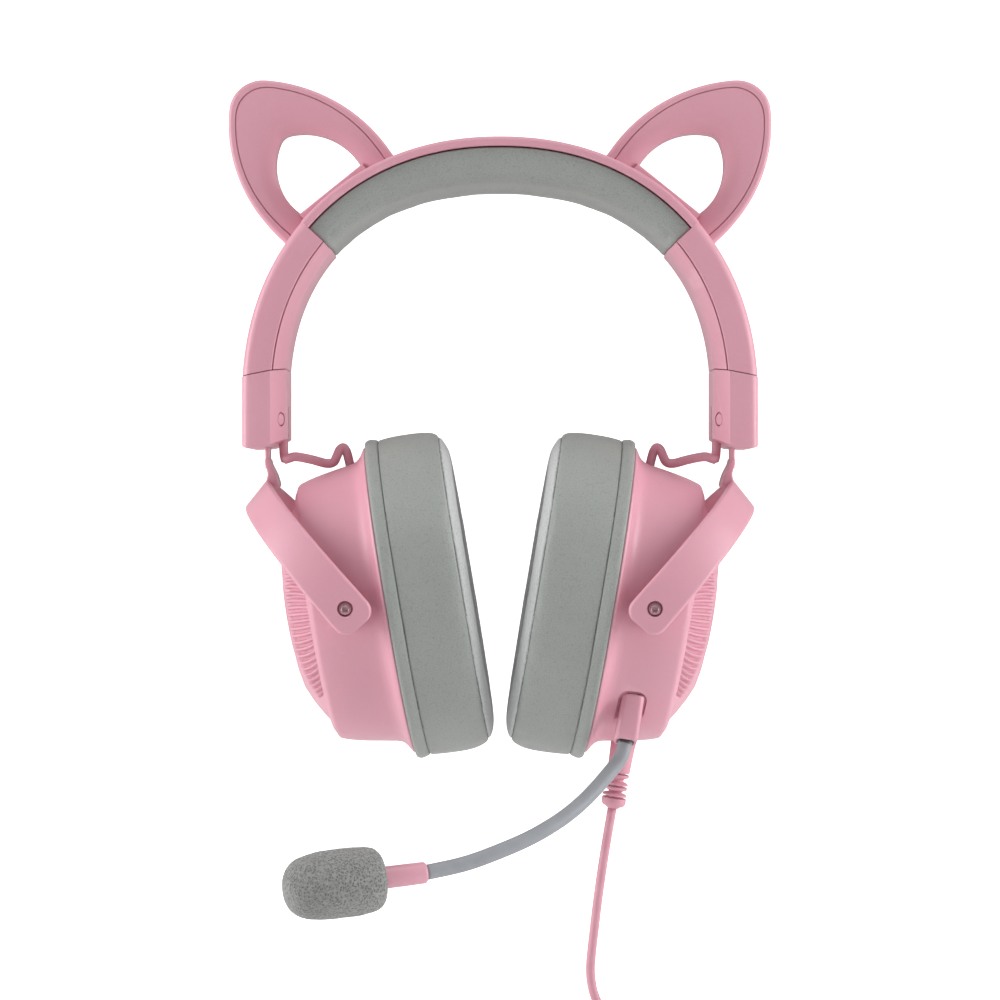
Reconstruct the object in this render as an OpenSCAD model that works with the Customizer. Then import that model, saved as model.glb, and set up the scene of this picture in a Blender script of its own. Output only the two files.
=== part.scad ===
// Wired gaming headset with cat ears, an unpluggable microphone and a coiled USB cable.
// +X points to the wearer's left, +Y to the back of the head and +Z up.
// The origin lies on the underside of the head pad, at the middle of the crown.

/* [Headband] */
// Half width of the headband's outer outline
band_outer_x = 82.2; // [80:0.1:84]
// Height of the headband's outer outline above its centre
band_outer_z = 83.1; // [82:0.1:85]
// Half width of the headband's inner outline
band_inner_x = 69; // [68:0.1:70]
// Width of the headband, front to back
band_w = 38; // [36:0.5:40]
// Width of the bevelled inner face of the arms
inner_face_w = 21; // [18:0.5:24]
// Half of the arc that the head pad covers, in degrees
pad_half_arc = 48.5; // [44:0.5:52]

/* [Cat ears] */
// Tilt of the ears above the horizontal, in degrees
ear_angle = 51.2; // [46:0.1:56]
// Radius of each ear's sides
ear_side_r = 51; // [49:0.1:53]
// Radius of each ear's tip
ear_tip_r = 10.9; // [9:0.1:12]
// Thickness of an ear
ear_t = 11; // [9:0.5:13]

/* [Slider and yoke] */
// Thickness of the slider strip
strip_t = 1.2; // [1.2:0.1:1.8]
// Width of the slider strip
strip_w = 10; // [10:0.5:14]
// Outer radius of the yoke's half ring
yoke_r = 47.6; // [47.4:0.1:48.4]
// Thickness of the yoke
yoke_t = 3.2; // [2.8:0.1:3.2]
// Width of the yoke at its pivots
yoke_w = 13.2; // [12:0.1:14]
// Lean of the yoke from the vertical, in degrees
yoke_lean = 41.6; // [39:0.1:43]

/* [Ear cups] */
// Distance of the cup pivots from the middle
pivot_x = 47.4; // [47:0.1:49]
// Lean of the cups when the headset isn't worn, in degrees
cup_lean = 9.5; // [8:0.1:9.5]
// Half height of the cup housing at its widest
cup_h = 50; // [48:0.1:50]
// Half height of the cushion
cushion_h = 52.5; // [51:0.1:53]
// Diameter of a driver
driver_d = 50; // [40:1:50]

/* [Cable] */
// Diameter of the cable
cable_d = 3; // [2.8:0.1:3.2]
// Diameter of the leads between the headband and the cups
lead_d = 3; // [1.6:0.1:3.2]
// Diameter of the microphone's boom
boom_d = 4.6; // [4:0.1:5]

/* [Hidden] */
$fn = 48;

// Colours
pink = [0.86, 0.62, 0.68];
deep_pink = [0.72, 0.48, 0.54];
grey = [0.56, 0.58, 0.57];
light_grey = [0.8, 0.81, 0.81];
foam_grey = [0.5, 0.5, 0.5];
steel = [0.62, 0.63, 0.65];
board_green = [0.16, 0.36, 0.24];

// Clearance between pieces that are assembled and between pieces that slide
fit = 0.15;
run_fit = 0.05;

// ---- Headband ----
band_z = -67.8;
band_inner_z = -band_z;
band_outer_n = 2.14;
band_inner_n = 2.3;
band_wall = 2;
arm_lip = 9.4;
crown_lip = 3;
edge_r = 2;
seam_outer = 4.9;
seam_inner = 8;
pad_start = 90 - pad_half_arc;
pad_gap = 0.1;
band_steps = 44;
// The slider strips stand at this distance from the middle, and reach up to this height
strip_x = 75.3;
strip_top = -46;
strip_bottom = -90;
// The end caps' faces
cap_outer_x = 82.15;
cap_inner_x = 68.65;
cap_w = 39;
cap_bottom = -83.8;
plug_r = 2.25;
plug_x = 69.9;
plug_z = -74.5;

// ---- Cups: every size below is in the cup's own frame, from its pivot ----
pivot_z = -133.6;
cup_mid = -1;
cup_ratio = 0.9;
cushion_ratio = 0.88;
cup_wall = 2.2;
oval_n = 2.15;
oval_sides = 48;
flange_u = -12.3;
cup_face_u = 12.4;
grille_seat_u = 10.7;
boss_r = 6;
boss_end = 43.8;
shoulder_r = 2;
screw_head_r = 2.3;
post_y = 23.5;
post_w = 30.5;
lead_u = -6.3;
// The microphone's plug and its socket
plug_u = -1.1;
plug_y = -30;
plug_size = 7;
plug_top = -27.9;
plug_bottom = -43.2;
// The volume wheel and the mute button at the back of the left cup
wheel_r = 8;
wheel_y = 27.7;
wheel_w = -23.5;
button_r = 3;
button_w = -16;
button_u = 6;
// The cable's boot
boot_u = 0.3;
boot_top = -45.6;
boot_length = 22;

// Route of the microphone's boom, from its plug to its collar
boom_route = [
    [39.4, -30, -175.5], [38, -31.5, -180], [35.6, -33, -183.4], [29.1, -38, -190.2],
    [23.2, -43, -195.1], [16.5, -48, -199.3], [7.8, -53.5, -203.4], [-3.8, -59.5, -207.4],
    [-12, -63, -209.6], [-22, -67, -211.2]
];
// Route of the cable from its boot down to the coil, and from the coil to its plug
cable_route = [
    [36.5, 0, -200.5], [34.8, 0, -210], [33.2, 0, -220], [31.8, 0, -230], [30.6, 0, -240],
    [29.7, 0, -248], [29.4, 0, -254], [30.4, 0, -260.4], [33, 0, -265.8], [36.6, 0, -268.9]
];
tail_route = [[60.5, 1.5, -296], [60.5, 1.2, -300], [60.7, 0.4, -304], [60.8, 0, -308]];
// Route of a lead from its end cap down to the top of its cup
lead_route = [
    [70.3, 0, -76], [70.3, 0, -79], [70.3, 0, -82.6], [70.1, -0.9, -85.4], [69.6, -2.6, -87.2],
    [68.2, -3.4, -86.8], [66, -3.2, -86.3], [61, -2.4, -87.2], [56.4, -1.8, -88.4], [54, -1.5, -88],
    [52.9, -1.2, -86], [52, -0.9, -84], [50.8, -0.6, -83.3], [49.8, -0.3, -84.8], [49.1, 0, -87.4],
    [48.5, 0, -90], [48.1, 0, -92.3]
];
coil_at = [38, 0, -292];
coil_mid_r = 18;
coil_half_r = 6.2;
coil_half_w = 6.9;

// ---- Functions ----

// Points of an arc round a centre, from one angle to another
function arc(centre, r, from, to, steps) =
    [for (i = [0:steps]) let (a = from + (to - from) * i / steps)
        [centre[0] + r * cos(a), centre[1] + r * sin(a)]];

// Distance from the centre of a superellipse to its edge, in the direction a
function super_r(rx, rz, n, a) =
    1 / pow(pow(abs(cos(a)) / rx, n) + pow(abs(sin(a)) / rz, n), 1 / n);
function outer_r(a) = super_r(band_outer_x, band_outer_z, band_outer_n, a);
function inner_r(a) = super_r(band_inner_x, band_inner_z, band_inner_n, a);

// Lean of the seam above each end cap, which fades out up the arm
function seam_skew(a) = (seam_inner - seam_outer) * max(0, 1 - (min(a, 180 - a) - seam_outer) / 25);

// A point of the headband at the direction a, at a depth under its outer face and at a place y
function polar(r, a) = [r * cos(a), 0, band_z + r * sin(a)];
function band_point(a, depth, y) =
    let (share = depth / band_depth(a), turn = a + (a < 90 ? 1 : -1) * seam_skew(a))
    polar(outer_r(a), a) * (1 - share) + polar(inner_r(turn), turn) * share + [0, y, 0];
function band_depth(a) = outer_r(a) - inner_r(a);

// One ring of the headband: points [depth, y] placed at the direction a
function band_ring(a, points) = [for (p = points) band_point(a, p[0], p[1])];

// Directions from one angle to another in even steps
function spread(from, to, steps) = [for (i = [0:steps]) from + (to - from) * i / steps];

// A rounded oval across a cup, at the depth u, of half height h and half width b
function oval(u, h, b) = [for (i = [0:oval_sides - 1])
    let (a = i * 360 / oval_sides)
    let (r = super_r(b, h, oval_n, a))
    [u, r * cos(a), cup_mid + r * sin(a)]];
function cup_oval(u, h) = oval(u, h, h * cup_ratio);

// The unit vector along v
function unit(v) = v / norm(v);

// Rings of a round tube of diameter d along a route
function tube_rings(route, d, sides) = [for (i = [0:len(route) - 1])
    let (ahead = unit(route[min(i + 1, len(route) - 1)] - route[max(i - 1, 0)]))
    let (side = unit(cross(ahead, abs(ahead[1]) > 0.9 ? [1, 0, 0] : [0, 1, 0])))
    let (up = cross(side, ahead))
    [for (k = [0:sides - 1]) let (a = k * 360 / sides)
        route[i] + d / 2 * (cos(a) * side + sin(a) * up)]];

// A smooth curve through the points of a route, with some steps between each two
function smooth(route, steps) = [
    for (i = [0:len(route) - 2]) for (k = [0:steps - 1])
        let (a = route[max(i - 1, 0)], b = route[i], c = route[i + 1], t = k / steps)
        let (d = route[min(i + 2, len(route) - 1)])
        b + 0.5 * t * ((c - a) + t * ((2 * a - 5 * b + 4 * c - d) + t * (3 * b - 3 * c + d - a))),
    route[len(route) - 1]
];

// ---- Shared shapes ----

// Six times the volume between the origin and a face, and the sum of a list
function face_volume(points, face) = sum([for (k = [1:len(face) - 2])
    points[face[0]] * cross(points[face[k]], points[face[k + 1]])]);
function sum(list) = list * [for (item = list) 1];
function backwards(list) = [for (i = [len(list) - 1:-1:0]) list[i]];

// A solid through a row of rings, closed on itself or with flat ends; a hollow section's end
// is given as a list of convex parts
module loft(rings, closed = false, end_parts = []) {
    sides = len(rings[0]);
    count = len(rings);
    last = closed ? count - 1 : count - 2;
    points = [for (ring = rings) each ring];
    walls = [for (i = [0:last]) for (k = [0:sides - 1])
        let (a = i * sides, b = ((i + 1) % count) * sides, m = (k + 1) % sides)
        each [[a + k, a + m, b + k], [a + m, b + m, b + k]]];
    parts = len(end_parts) > 0 ? end_parts : [[for (k = [0:sides - 1]) k]];
    ends = closed ? [] : [for (part = parts) each [
        backwards(part), [for (k = part) (count - 1) * sides + k]
    ]];
    faces = concat(walls, ends);
    inside_out = sum([for (face = faces) face_volume(points, face)]) > 0;
    polyhedron(points, inside_out ? [for (face = faces) backwards(face)] : faces, convexity = 8);
}

// A flat outline [x, z], standing from one y to another
module standing(points, from, to) {
    translate([0, to, 0])
        rotate([90, 0, 0])
            linear_extrude(to - from)
                polygon(points);
}

// A round bar along x, y or z from one place to another
module bar_x(r, from, to) {
    translate([from, 0, 0])
        rotate([0, 90, 0])
            cylinder(r = r, h = to - from);
}

module bar_y(r, from, to) {
    translate([0, from, 0])
        rotate([-90, 0, 0])
            cylinder(r = r, h = to - from);
}

// side is 1 for the wearer's left and -1 for the right
module on_side(side) {
    mirror([side < 0 ? 1 : 0, 0, 0])
        children();
}

module at_cup(side) {
    on_side(side)
        translate([pivot_x, 0, pivot_z])
            rotate([0, cup_lean, 0])
                children();
}

// The yoke's own frame: z runs from the pivots to the top of its ring, x across its width
module at_yoke(side) {
    on_side(side)
        translate([pivot_x, 0, pivot_z])
            rotate([0, yoke_lean, 0])
                children();
}

// The ear's own frame: x across the ear, z outwards from the headband's centre
module at_ear(side) {
    on_side(side)
        translate([0, 0, band_z])
            rotate([0, 90 - ear_angle, 0])
                children();
}

// ---- Headband ----

// Cross section of the shell: a channel whose lips reach a depth under the outer face
function shell_section(lip) =
    let (w = band_w / 2, t = band_wall, e = edge_r)
    [
        [lip, -w], [e, -w], [0.3 * e, -w + 0.3 * e], [0, -w + e],
        [0, w - e], [0.3 * e, w - 0.3 * e], [e, w], [lip, w],
        [lip, w - t], [t, w - t], [t, -w + t], [lip, -w + t]
    ];

module headband_shell() {
    arm = spread(seam_outer, pad_start - pad_gap, 10);
    crown = spread(pad_start, 180 - pad_start, band_steps / 2);
    other_arm = [for (i = [len(arm) - 1:-1:0]) 180 - arm[i]];
    color(pink)
        difference() {
            loft(concat(
                [for (a = arm) band_ring(a, shell_section(arm_lip))],
                [for (a = crown) band_ring(a, shell_section(crown_lip))],
                [for (a = other_arm) band_ring(a, shell_section(arm_lip))]
            ), end_parts = [[11, 0, 1, 2, 3, 10], [3, 4, 9, 10], [4, 5, 6, 7, 8, 9]]);
            ear_screw_holes(1, 1.1);
            ear_screw_holes(-1, 1.1);
        }
}

// The inner half of an arm: a trough with bevelled walls
module arm_cover(side) {
    w = band_w / 2;
    face = inner_face_w / 2;
    t = 1.8;
    color(pink)
        on_side(side)
            loft([for (a = spread(seam_outer, pad_start - pad_gap, 12))
                let (deep = band_depth(a))
                band_ring(a, [
                    [arm_lip + 0.1, -w], [deep, -face], [deep, face], [arm_lip + 0.1, w],
                    [arm_lip + 0.1, w - 2.4], [deep - t, face - 0.8],
                    [deep - t, -face + 0.8], [arm_lip + 0.1, -w + 2.4]
                ])], end_parts = [[0, 1, 6, 7], [1, 2, 5, 6], [2, 3, 4, 5]]);
}

// The pad's foam and its cover, crowned towards the head
module head_pad() {
    w = band_w / 2 - 1;
    color(grey)
        loft([for (a = spread(pad_start + pad_gap, 180 - pad_start - pad_gap, band_steps / 2))
            let (deep = band_depth(a))
            band_ring(a, [
                [5.4, -w], [deep - 5, -w], [deep - 2, -w + 1.6], [deep - 0.4, -w + 6],
                [deep, 0], [deep - 0.4, w - 6], [deep - 2, w - 1.6], [deep - 5, w], [5.4, w]
            ])]);
}

// The plate that the pad is glued to
module pad_base() {
    w = band_w / 2 - 1.5;
    color(deep_pink)
        difference() {
            loft([for (a = spread(pad_start + pad_gap, 180 - pad_start - pad_gap, band_steps / 2))
                band_ring(a, [[3.9, -w], [5.3, -w], [5.3, w], [3.9, w]])]);
            ear_screw_holes(1, 1.8);
            ear_screw_holes(-1, 1.8);
        }
}

// The sprung steel band that gives the clamping force
module spring_band() {
    color(steel)
        difference() {
            loft([for (a = spread(18.5, 161.5, 32))
                band_ring(a, [[2.3, -9], [3.1, -9], [3.1, 9], [2.3, 9]])]);
            ear_screw_holes(1, 1.8);
            ear_screw_holes(-1, 1.8);
        }
}

// The wires that join the two cups, which run beside the spring band
module bridge_cable() {
    color(deep_pink)
        loft(tube_rings([for (a = spread(9, 171, 30)) band_point(a, 2.95, 13)], 1.3, 6));
}

// Section of an end cap from above, grown by some amount
function cap_section(grow) =
    let (w = cap_w / 2 + grow, x = cap_outer_x + grow, face = inner_face_w / 2 + 0.4 + grow)
    concat(
        arc([x - 2.2, w - 2.2], 2.2, 0, 90, 6),
        [[cap_outer_x - arm_lip - grow / 2, w], [cap_inner_x - grow, face]],
        [[cap_inner_x - grow, -face], [cap_outer_x - arm_lip - grow / 2, -w]],
        arc([x - 2.2, -w + 2.2], 2.2, -90, 0, 6)
    );

// The front outline of an end cap, whose top edge follows the seam
function cap_outline(grow) =
    let (top_out = band_point(seam_outer, -3, 0))
    let (top_in = band_point(seam_outer, band_depth(seam_outer) + 1, 0))
    concat(
        [[top_in[0], top_in[2] - fit], [top_out[0], top_out[2] - fit]],
        [[cap_outer_x + 1, cap_bottom + 5]],
        arc([80.2 + grow, cap_bottom + 1.6 - grow], 1.6, 0, -90, 4),
        [[74.4, cap_bottom - grow + 0.4], [67.2 - grow, -79.9 - grow]]
    );

module end_cap(side) {
    color(pink)
        on_side(side)
            difference() {
                intersection() {
                    translate([0, 0, -90])
                        linear_extrude(40)
                            polygon(cap_section(0));
                    standing(cap_outline(0), -25, 25);
                }
                intersection() {
                    translate([0, 0, -90])
                        linear_extrude(40)
                            polygon(cap_section(-1.8));
                    translate([60, -25, -78.6])
                        cube([30, 50, 40]);
                }
                strip_slot();
                translate([70.3, 0, -90])
                    cylinder(d = lead_d + 0.4, h = 20);
                for (end = [-1, 1]) {
                    plug_place(end)
                        cylinder(r = plug_r + run_fit, h = 10, center = true);
                }
            }
}

// The slot that a slider strip runs through
module strip_slot() {
    translate([strip_x - strip_t / 2 - fit, -strip_w / 2 - fit, -90])
        cube([strip_t + 2 * fit, strip_w + 2 * fit, 20]);
}

// A frame on the front or back bevel of an end cap, with z along the bevel's normal
module plug_place(end) {
    run = cap_w / 2 - inner_face_w / 2 - 0.4;
    rise = cap_outer_x - arm_lip - cap_inner_x;
    share = (plug_x - cap_inner_x) / rise;
    y = inner_face_w / 2 + 0.4 + share * run;
    translate([plug_x, end * y, plug_z])
        rotate([-90 * end, 0, 0])
            rotate([0, -atan2(run, rise), 0])
                children();
}

// The round plugs over the end caps' screws, two in each cap
module end_cap_plugs() {
    color(pink)
        for (side = [1, -1]) {
            for (end = [-1, 1]) {
                on_side(side)
                    plug_place(end)
                        translate([0, 0, -1.5])
                            cylinder(r = plug_r, h = 1.4);
            }
        }
}

// ---- Cat ears ----
ear_side_at = [27.9, 91.3];
ear_foot = 85;
// How far the ear leans outwards, as a share of its height
ear_lean = 0.045;
ear_cover_inset = 3;
hole_side_r = 20.3;
hole_side_at = [7.35, 91.8];
hole_tip_r = 4;
hole_floor = 87.3;
ear_screw_at = 15;
ear_screw_z = 79.5;

// Half of a leaf's outline, on the side of positive x: the side's arc and then the tip's arc
function leaf_half(side_r, side_at, tip_r, floor) =
    let (tip_z = side_at[1] + sqrt(pow(side_r - tip_r, 2) - pow(side_at[0], 2)))
    let (join = atan2(tip_z - side_at[1], side_at[0]))
    concat(
        arc([-side_at[0], side_at[1]], side_r, asin((floor - side_at[1]) / side_r), join, 16),
        arc([0, tip_z], tip_r, join, 90, 8)
    );
function flipped(points) = [for (p = backwards(points)) [-p[0], p[1]]];

// A leaf drawn smaller by an inset, standing on the height floor and leaning outwards
function leaf(side_r, side_at, tip_r, floor, inset) =
    let (half = leaf_half(side_r - inset, side_at, tip_r - inset, floor))
    let (whole = concat(half, flipped([for (i = [0:len(half) - 2]) half[i]])))
    [for (p = whole) [p[0] + ear_lean * (p[1] - ear_foot), p[1]]];

// The headband's outer face as the ear sees it, raised by a gap
function ear_seat(gap) = concat(
    [for (turn = spread(-24, 24, 16)) let (r = outer_r(ear_angle + turn) + gap)
        [-r * sin(turn), r * cos(turn)]],
    [[-60, 60], [60, 60]]
);

module ear_outline(inset, floor_gap) {
    difference() {
        polygon(leaf(ear_side_r, ear_side_at, ear_tip_r, 78, inset));
        polygon(ear_seat(floor_gap));
    }
}

module ear_hole(grow) {
    polygon(leaf(hole_side_r, hole_side_at, hole_tip_r, hole_floor - grow, -grow));
}

// Stands a flat shape of the ear's frame between two places along y
module ear_slab(from, to) {
    translate([0, to, 0])
        rotate([90, 0, 0])
            linear_extrude(to - from)
                children();
}

// The ear's moulding: a rim and a back, open to the front
module ear_frame(side) {
    half = ear_t / 2;
    color(pink)
        at_ear(side)
            difference() {
                ear_slab(-half, half)
                    difference() {
                        ear_outline(0, 0.1);
                        ear_hole(0);
                    }
                ear_slab(-half - 1, -half + 1.6)
                    difference() {
                        ear_outline(ear_cover_inset, 3);
                        ear_hole(0);
                    }
                ear_slab(-half, half - 1.6)
                    difference() {
                        ear_outline(ear_cover_inset + 1.4, 4.4);
                        ear_hole(1.6);
                    }
                for (x = [-ear_screw_at, ear_screw_at]) {
                    translate([x, 0, 70])
                        cylinder(r = 1.05, h = 22);
                }
            }
}

// The ear's front cover, which sits in the rim around the hole
module ear_cover(side) {
    half = ear_t / 2;
    color(pink)
        at_ear(side)
            ear_slab(-half, -half + 1.5)
                difference() {
                    ear_outline(ear_cover_inset + fit, 3 + fit);
                    ear_hole(0);
                }
}

module ear_screw_holes(side, r) {
    at_ear(side)
        for (x = [-ear_screw_at, ear_screw_at]) {
            translate([x, 0, 70])
                cylinder(r = r, h = 22);
        }
}

// Screws that hold the ears from inside the headband
module ear_screws() {
    color(steel)
        for (side = [1, -1]) {
            at_ear(side)
                for (x = [-ear_screw_at, ear_screw_at]) {
                    translate([x, 0, ear_screw_z])
                        cylinder(r = 1, h = 6);
                    translate([x, 0, ear_screw_z])
                        cylinder(r = 1.6, h = 0.7);
                }
        }
}

// ---- Slider and yoke ----
yoke_end = 7.2;
neck_half_w = 6.5;
neck_gap = 0.05;

module slider_strip(side) {
    color(pink)
        on_side(side)
            translate([strip_x - strip_t / 2, -strip_w / 2, strip_bottom])
                cube([strip_t, strip_w, strip_top - strip_bottom]);
}

// Section of the yoke's band: [distance from the ring's middle, place across its width]
function yoke_section(half_w) =
    let (out = yoke_r, inside = yoke_r - yoke_t, e = 1)
    [
        [inside, -half_w], [out - e, -half_w], [out, -half_w + e],
        [out, half_w - e], [out - e, half_w], [inside, half_w]
    ];
// The band leans outwards a little more at its top than at its feet
function yoke_ring(turn, half_w) =
    let (tilt = 10 * cos(turn) * cos(turn))
    [for (p = yoke_section(half_w)) let (r = p[0] - p[1] * sin(tilt))
        [p[1] * cos(tilt), r * sin(turn), r * cos(turn)]];
function yoke_foot(end, drop, half_w) =
    [for (p = yoke_section(half_w)) [p[1], end * p[0], -drop]];

module yoke(side) {
    w = yoke_w / 2;
    color(pink)
        difference() {
            union() {
                at_yoke(side)
                    loft(concat(
                        [yoke_foot(-1, yoke_end, w - 2.6), yoke_foot(-1, yoke_end - 0.8, w - 1)],
                        [yoke_foot(-1, yoke_end - 2, w)],
                        [for (turn = spread(-90, 90, 36)) yoke_ring(turn, w - 0.6 * cos(turn))],
                        [yoke_foot(1, yoke_end - 2, w)],
                        [yoke_foot(1, yoke_end - 0.8, w - 1), yoke_foot(1, yoke_end, w - 2.6)]
                    ));
                on_side(side)
                    standing([
                        [73.6, -88.2], [74, -87.6], [76.3, -87.6], [76.6, -88.2], [76.3, -90.2],
                        [75.4, -92.4], [75.5, -94], [77.4, -97], [74.4, -98.4], [71.2, -95.8], [72.3, -92]
                    ], -neck_half_w, neck_half_w);
            }
            on_side(side)
                translate([strip_x - strip_t / 2 - neck_gap, -strip_w / 2 - neck_gap, strip_bottom - 0.1])
                    cube([strip_t + 2 * neck_gap, strip_w + 2 * neck_gap, 20]);
            at_yoke(side)
                for (end = [-1, 1]) {
                    scale([1, end, 1]) {
                        bar_y(shoulder_r + run_fit, 40, 50);
                        bar_y(screw_head_r + 0.15, yoke_r - 1.3, 50);
                    }
                }
        }
}

// ---- Ear cups ----

// The outside of the housing as [depth u, half height], from the ear side to the cover
cup_profile = [
    [flange_u, cup_h], [-10.9, cup_h - 0.9], [-8.7, cup_h - 4], [-3.8, cup_h - 5],
    [2.6, cup_h - 6.1], [7.6, cup_h - 7.2], [10.9, cup_h - 8.3], [cup_face_u, cup_h - 10.8]
];
cover_seat_h = 38;

module cup_envelope() {
    loft([for (p = cup_profile) cup_oval(p[0], p[1])]);
}

module cup_shell() {
    outside = [for (p = cup_profile) cup_oval(p[0], p[1])];
    inside = [for (i = [len(cup_profile) - 2:-1:1])
        cup_oval(cup_profile[i][0], cup_profile[i][1] - cup_wall)];
    loft(concat(
        outside,
        [cup_oval(cup_face_u, cover_seat_h), cup_oval(grille_seat_u, cover_seat_h)],
        inside,
        [cup_oval(flange_u, cup_h - cup_wall - 0.4)]
    ), closed = true);
}

module housing_post(y, w) {
    translate([0, y, cup_mid + w])
        bar_x(3, baffle_u + 2.1, 4);
}

module cup_housing(side) {
    color(pink)
        at_cup(side)
            difference() {
                union() {
                    cup_shell();
                    for (end = [-1, 1]) {
                        scale([1, end, 1])
                            bar_y(boss_r, 36.5, boss_end);
                    }
                    for (y = [-post_y, post_y], w = [-post_w, post_w]) {
                        if (side < 0 || y > 0 || w > 0)
                            housing_post(y, w);
                    }
                }
                for (end = [-1, 1]) {
                    scale([1, end, 1])
                        bar_y(1.45, 34, 50);
                }
                for (y = [-post_y, post_y], w = [-post_w, post_w]) {
                    translate([0, y, cup_mid + w])
                        bar_x(1.05, -10, 2);
                }
                translate([lead_u, 0, 30])
                    cylinder(d = lead_d + 2.2, h = 20);
                if (side > 0)
                    left_cup_openings();
            }
}

// The openings that only the left cup has
module left_cup_openings() {
    translate([plug_u - 5.2, plug_y - 8, -60])
        cube([10.4, 13.3, 36]);
    translate([-2.4, wheel_y, wheel_w])
        bar_x(wheel_r + 0.5, 0, 4.8);
    translate([button_u, 0, button_w])
        bar_y(button_r + run_fit, 30, 45);
    translate([boot_u, 0, -60]) {
        cylinder(r = 2.6, h = 18);
        cylinder(r = boot_r + run_fit, h = 60 + boot_top + run_fit);
    }
}

// The outside of the grille as [depth u, half height], from its seat to the middle
grille_profile = [
    [grille_seat_u + 0.1, 37.9], [12, 37.4], [15, 32.9], [17.5, 28.6], [19.5, 24.3], [20.4, 20.2],
    [20.6, 17]
];
grille_wall = 1.6;
slot_count = 18;

module grille(side) {
    outside = [for (p = grille_profile) cup_oval(p[0], p[1])];
    inside = [for (i = [len(grille_profile) - 1:-1:1])
        cup_oval(grille_profile[i][0] - grille_wall, grille_profile[i][1])];
    color(pink)
        at_cup(side)
            difference() {
                loft(concat(outside, inside, [cup_oval(grille_seat_u, 36.2)]), closed = true);
                for (i = [0:slot_count - 1]) {
                    translate([0, 0, cup_mid])
                        rotate([(i + 0.5) * 360 / slot_count, 0, 0])
                            translate([8, -0.9, 22])
                                cube([14, 1.8, 8]);
                }
            }
}

// The plain disc in the middle of the grille
module cover_disc(side) {
    color(pink)
        at_cup(side)
            translate([0, 0, cup_mid])
                union() {
                    bar_x(14.9, 19.2, 21.1);
                    bar_x(13.5, 18.8, 19.4);
                }
}

baffle_u = -10.5;
baffle_h = 43.2;

// The plate that closes a cup on the ear side and carries the driver
module baffle(side) {
    color(deep_pink)
        at_cup(side)
            difference() {
                loft([cup_oval(baffle_u, baffle_h), cup_oval(baffle_u + 2, baffle_h)]);
                translate([0, 0, cup_mid])
                    bar_x(driver_d / 2 + run_fit, -14, -4);
                for (y = [-post_y, post_y], w = [-post_w, post_w]) {
                    translate([0, y, cup_mid + w])
                        bar_x(1.2, -14, -4);
                }
            }
}

// A round solid about the driver's axis, from points [radius, depth u]
module driver_turned(side, points) {
    at_cup(side)
        translate([0, 0, cup_mid])
            rotate([0, 90, 0])
                rotate_extrude()
                    polygon(points);
}

module driver_basket(side) {
    r = driver_d / 2;
    color("dimgray")
        driver_turned(side, [
            [r - 2, baffle_u], [r, baffle_u], [r, -3.5], [r - 2, -2.5], [12, -1], [12, 1],
            [10.3, 1], [10.3, -2.4], [r - 3, -4], [r - 2, -5]
        ]);
}

module driver_magnet(side) {
    color(steel)
        driver_turned(side, [[0, -4.5], [10.2, -4.5], [10.2, 3], [0, 3]]);
}

module driver_cone(side) {
    color("silver")
        driver_turned(side, [
            [0, -7.2], [9, -6.2], [10, -5.2], [16, -7.6], [22.9, -7.6], [22.9, -7.9],
            [16, -8], [10, -5.7], [9, -6.7], [0, -7.7]
        ]);
}

// The plate that clips the cushion to its cup
module cushion_ring(side) {
    color(deep_pink)
        at_cup(side)
            loft([
                cup_oval(-14.1, cup_h - 1.2), cup_oval(-12.5, cup_h - 1.2),
                oval(-12.5, 31.2, 23.5), oval(-14.1, 31.2, 23.5)
            ], closed = true);
}

// Cross section of a cushion, round its foam, as [depth u, inset of its half height, inset of
// its half width]
cushion_section = [
    [-12.4, 1.5, 1.3], [-16.6, 0.6, 0.5], [-25, 0, 0], [-34, 0.2, 0.2], [-36.9, 1.8, 1.6],
    [-38.7, 5, 4.4], [-39.3, 11, 9.7], [-38.5, 17, 19.2], [-36, 20.6, 22.3], [-31.5, 21.8, 23.4],
    [-14.3, 21.8, 23.4], [-14.3, 3.2, 1.8], [-12.4, 3.2, 1.8]
];

module cushion(side) {
    half_w = cushion_h * cushion_ratio;
    color(grey)
        at_cup(side)
            loft([for (p = cushion_section) oval(p[0], cushion_h - p[1], half_w - p[2])], closed = true);
}

// Cloth stretched over the driver inside the cushion
module speaker_cloth(side) {
    color(light_grey)
        at_cup(side)
            loft([oval(-15.3, 29.5, 21.2), oval(-14.5, 29.5, 21.2)]);
}

// Shoulder screws that the yoke turns on, front and back
module pivot_screws(side) {
    color(steel)
        at_cup(side)
            for (end = [-1, 1]) {
                scale([1, end, 1]) {
                    difference() {
                        bar_y(screw_head_r, yoke_r - 1.25, yoke_r - 0.1);
                        bar_y(0.9, yoke_r - 0.8, 50);
                    }
                    bar_y(shoulder_r, boss_end, yoke_r - 1.2);
                    bar_y(1.4, 37, boss_end + 0.1);
                }
            }
}

module housing_screws(side) {
    color(steel)
        at_cup(side)
            for (y = [-post_y, post_y], w = [-post_w, post_w]) {
                if (side < 0 || y > 0 || w > 0)
                    translate([0, y, cup_mid + w]) {
                        bar_x(1.9, baffle_u - 1.2, baffle_u - 0.05);
                        bar_x(1, baffle_u - 0.2, 1.5);
                    }
            }
}

// ---- What only the left cup holds ----

// The sound board, with the pin that the volume wheel turns on
module circuit_board() {
    color(board_green)
        at_cup(1) {
            translate([4.5, -6, -26.5])
                cube([1.6, 35.5, 40.5]);
            translate([0, wheel_y, wheel_w])
                bar_x(1.5, -2.2, 4.6);
        }
}

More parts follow.
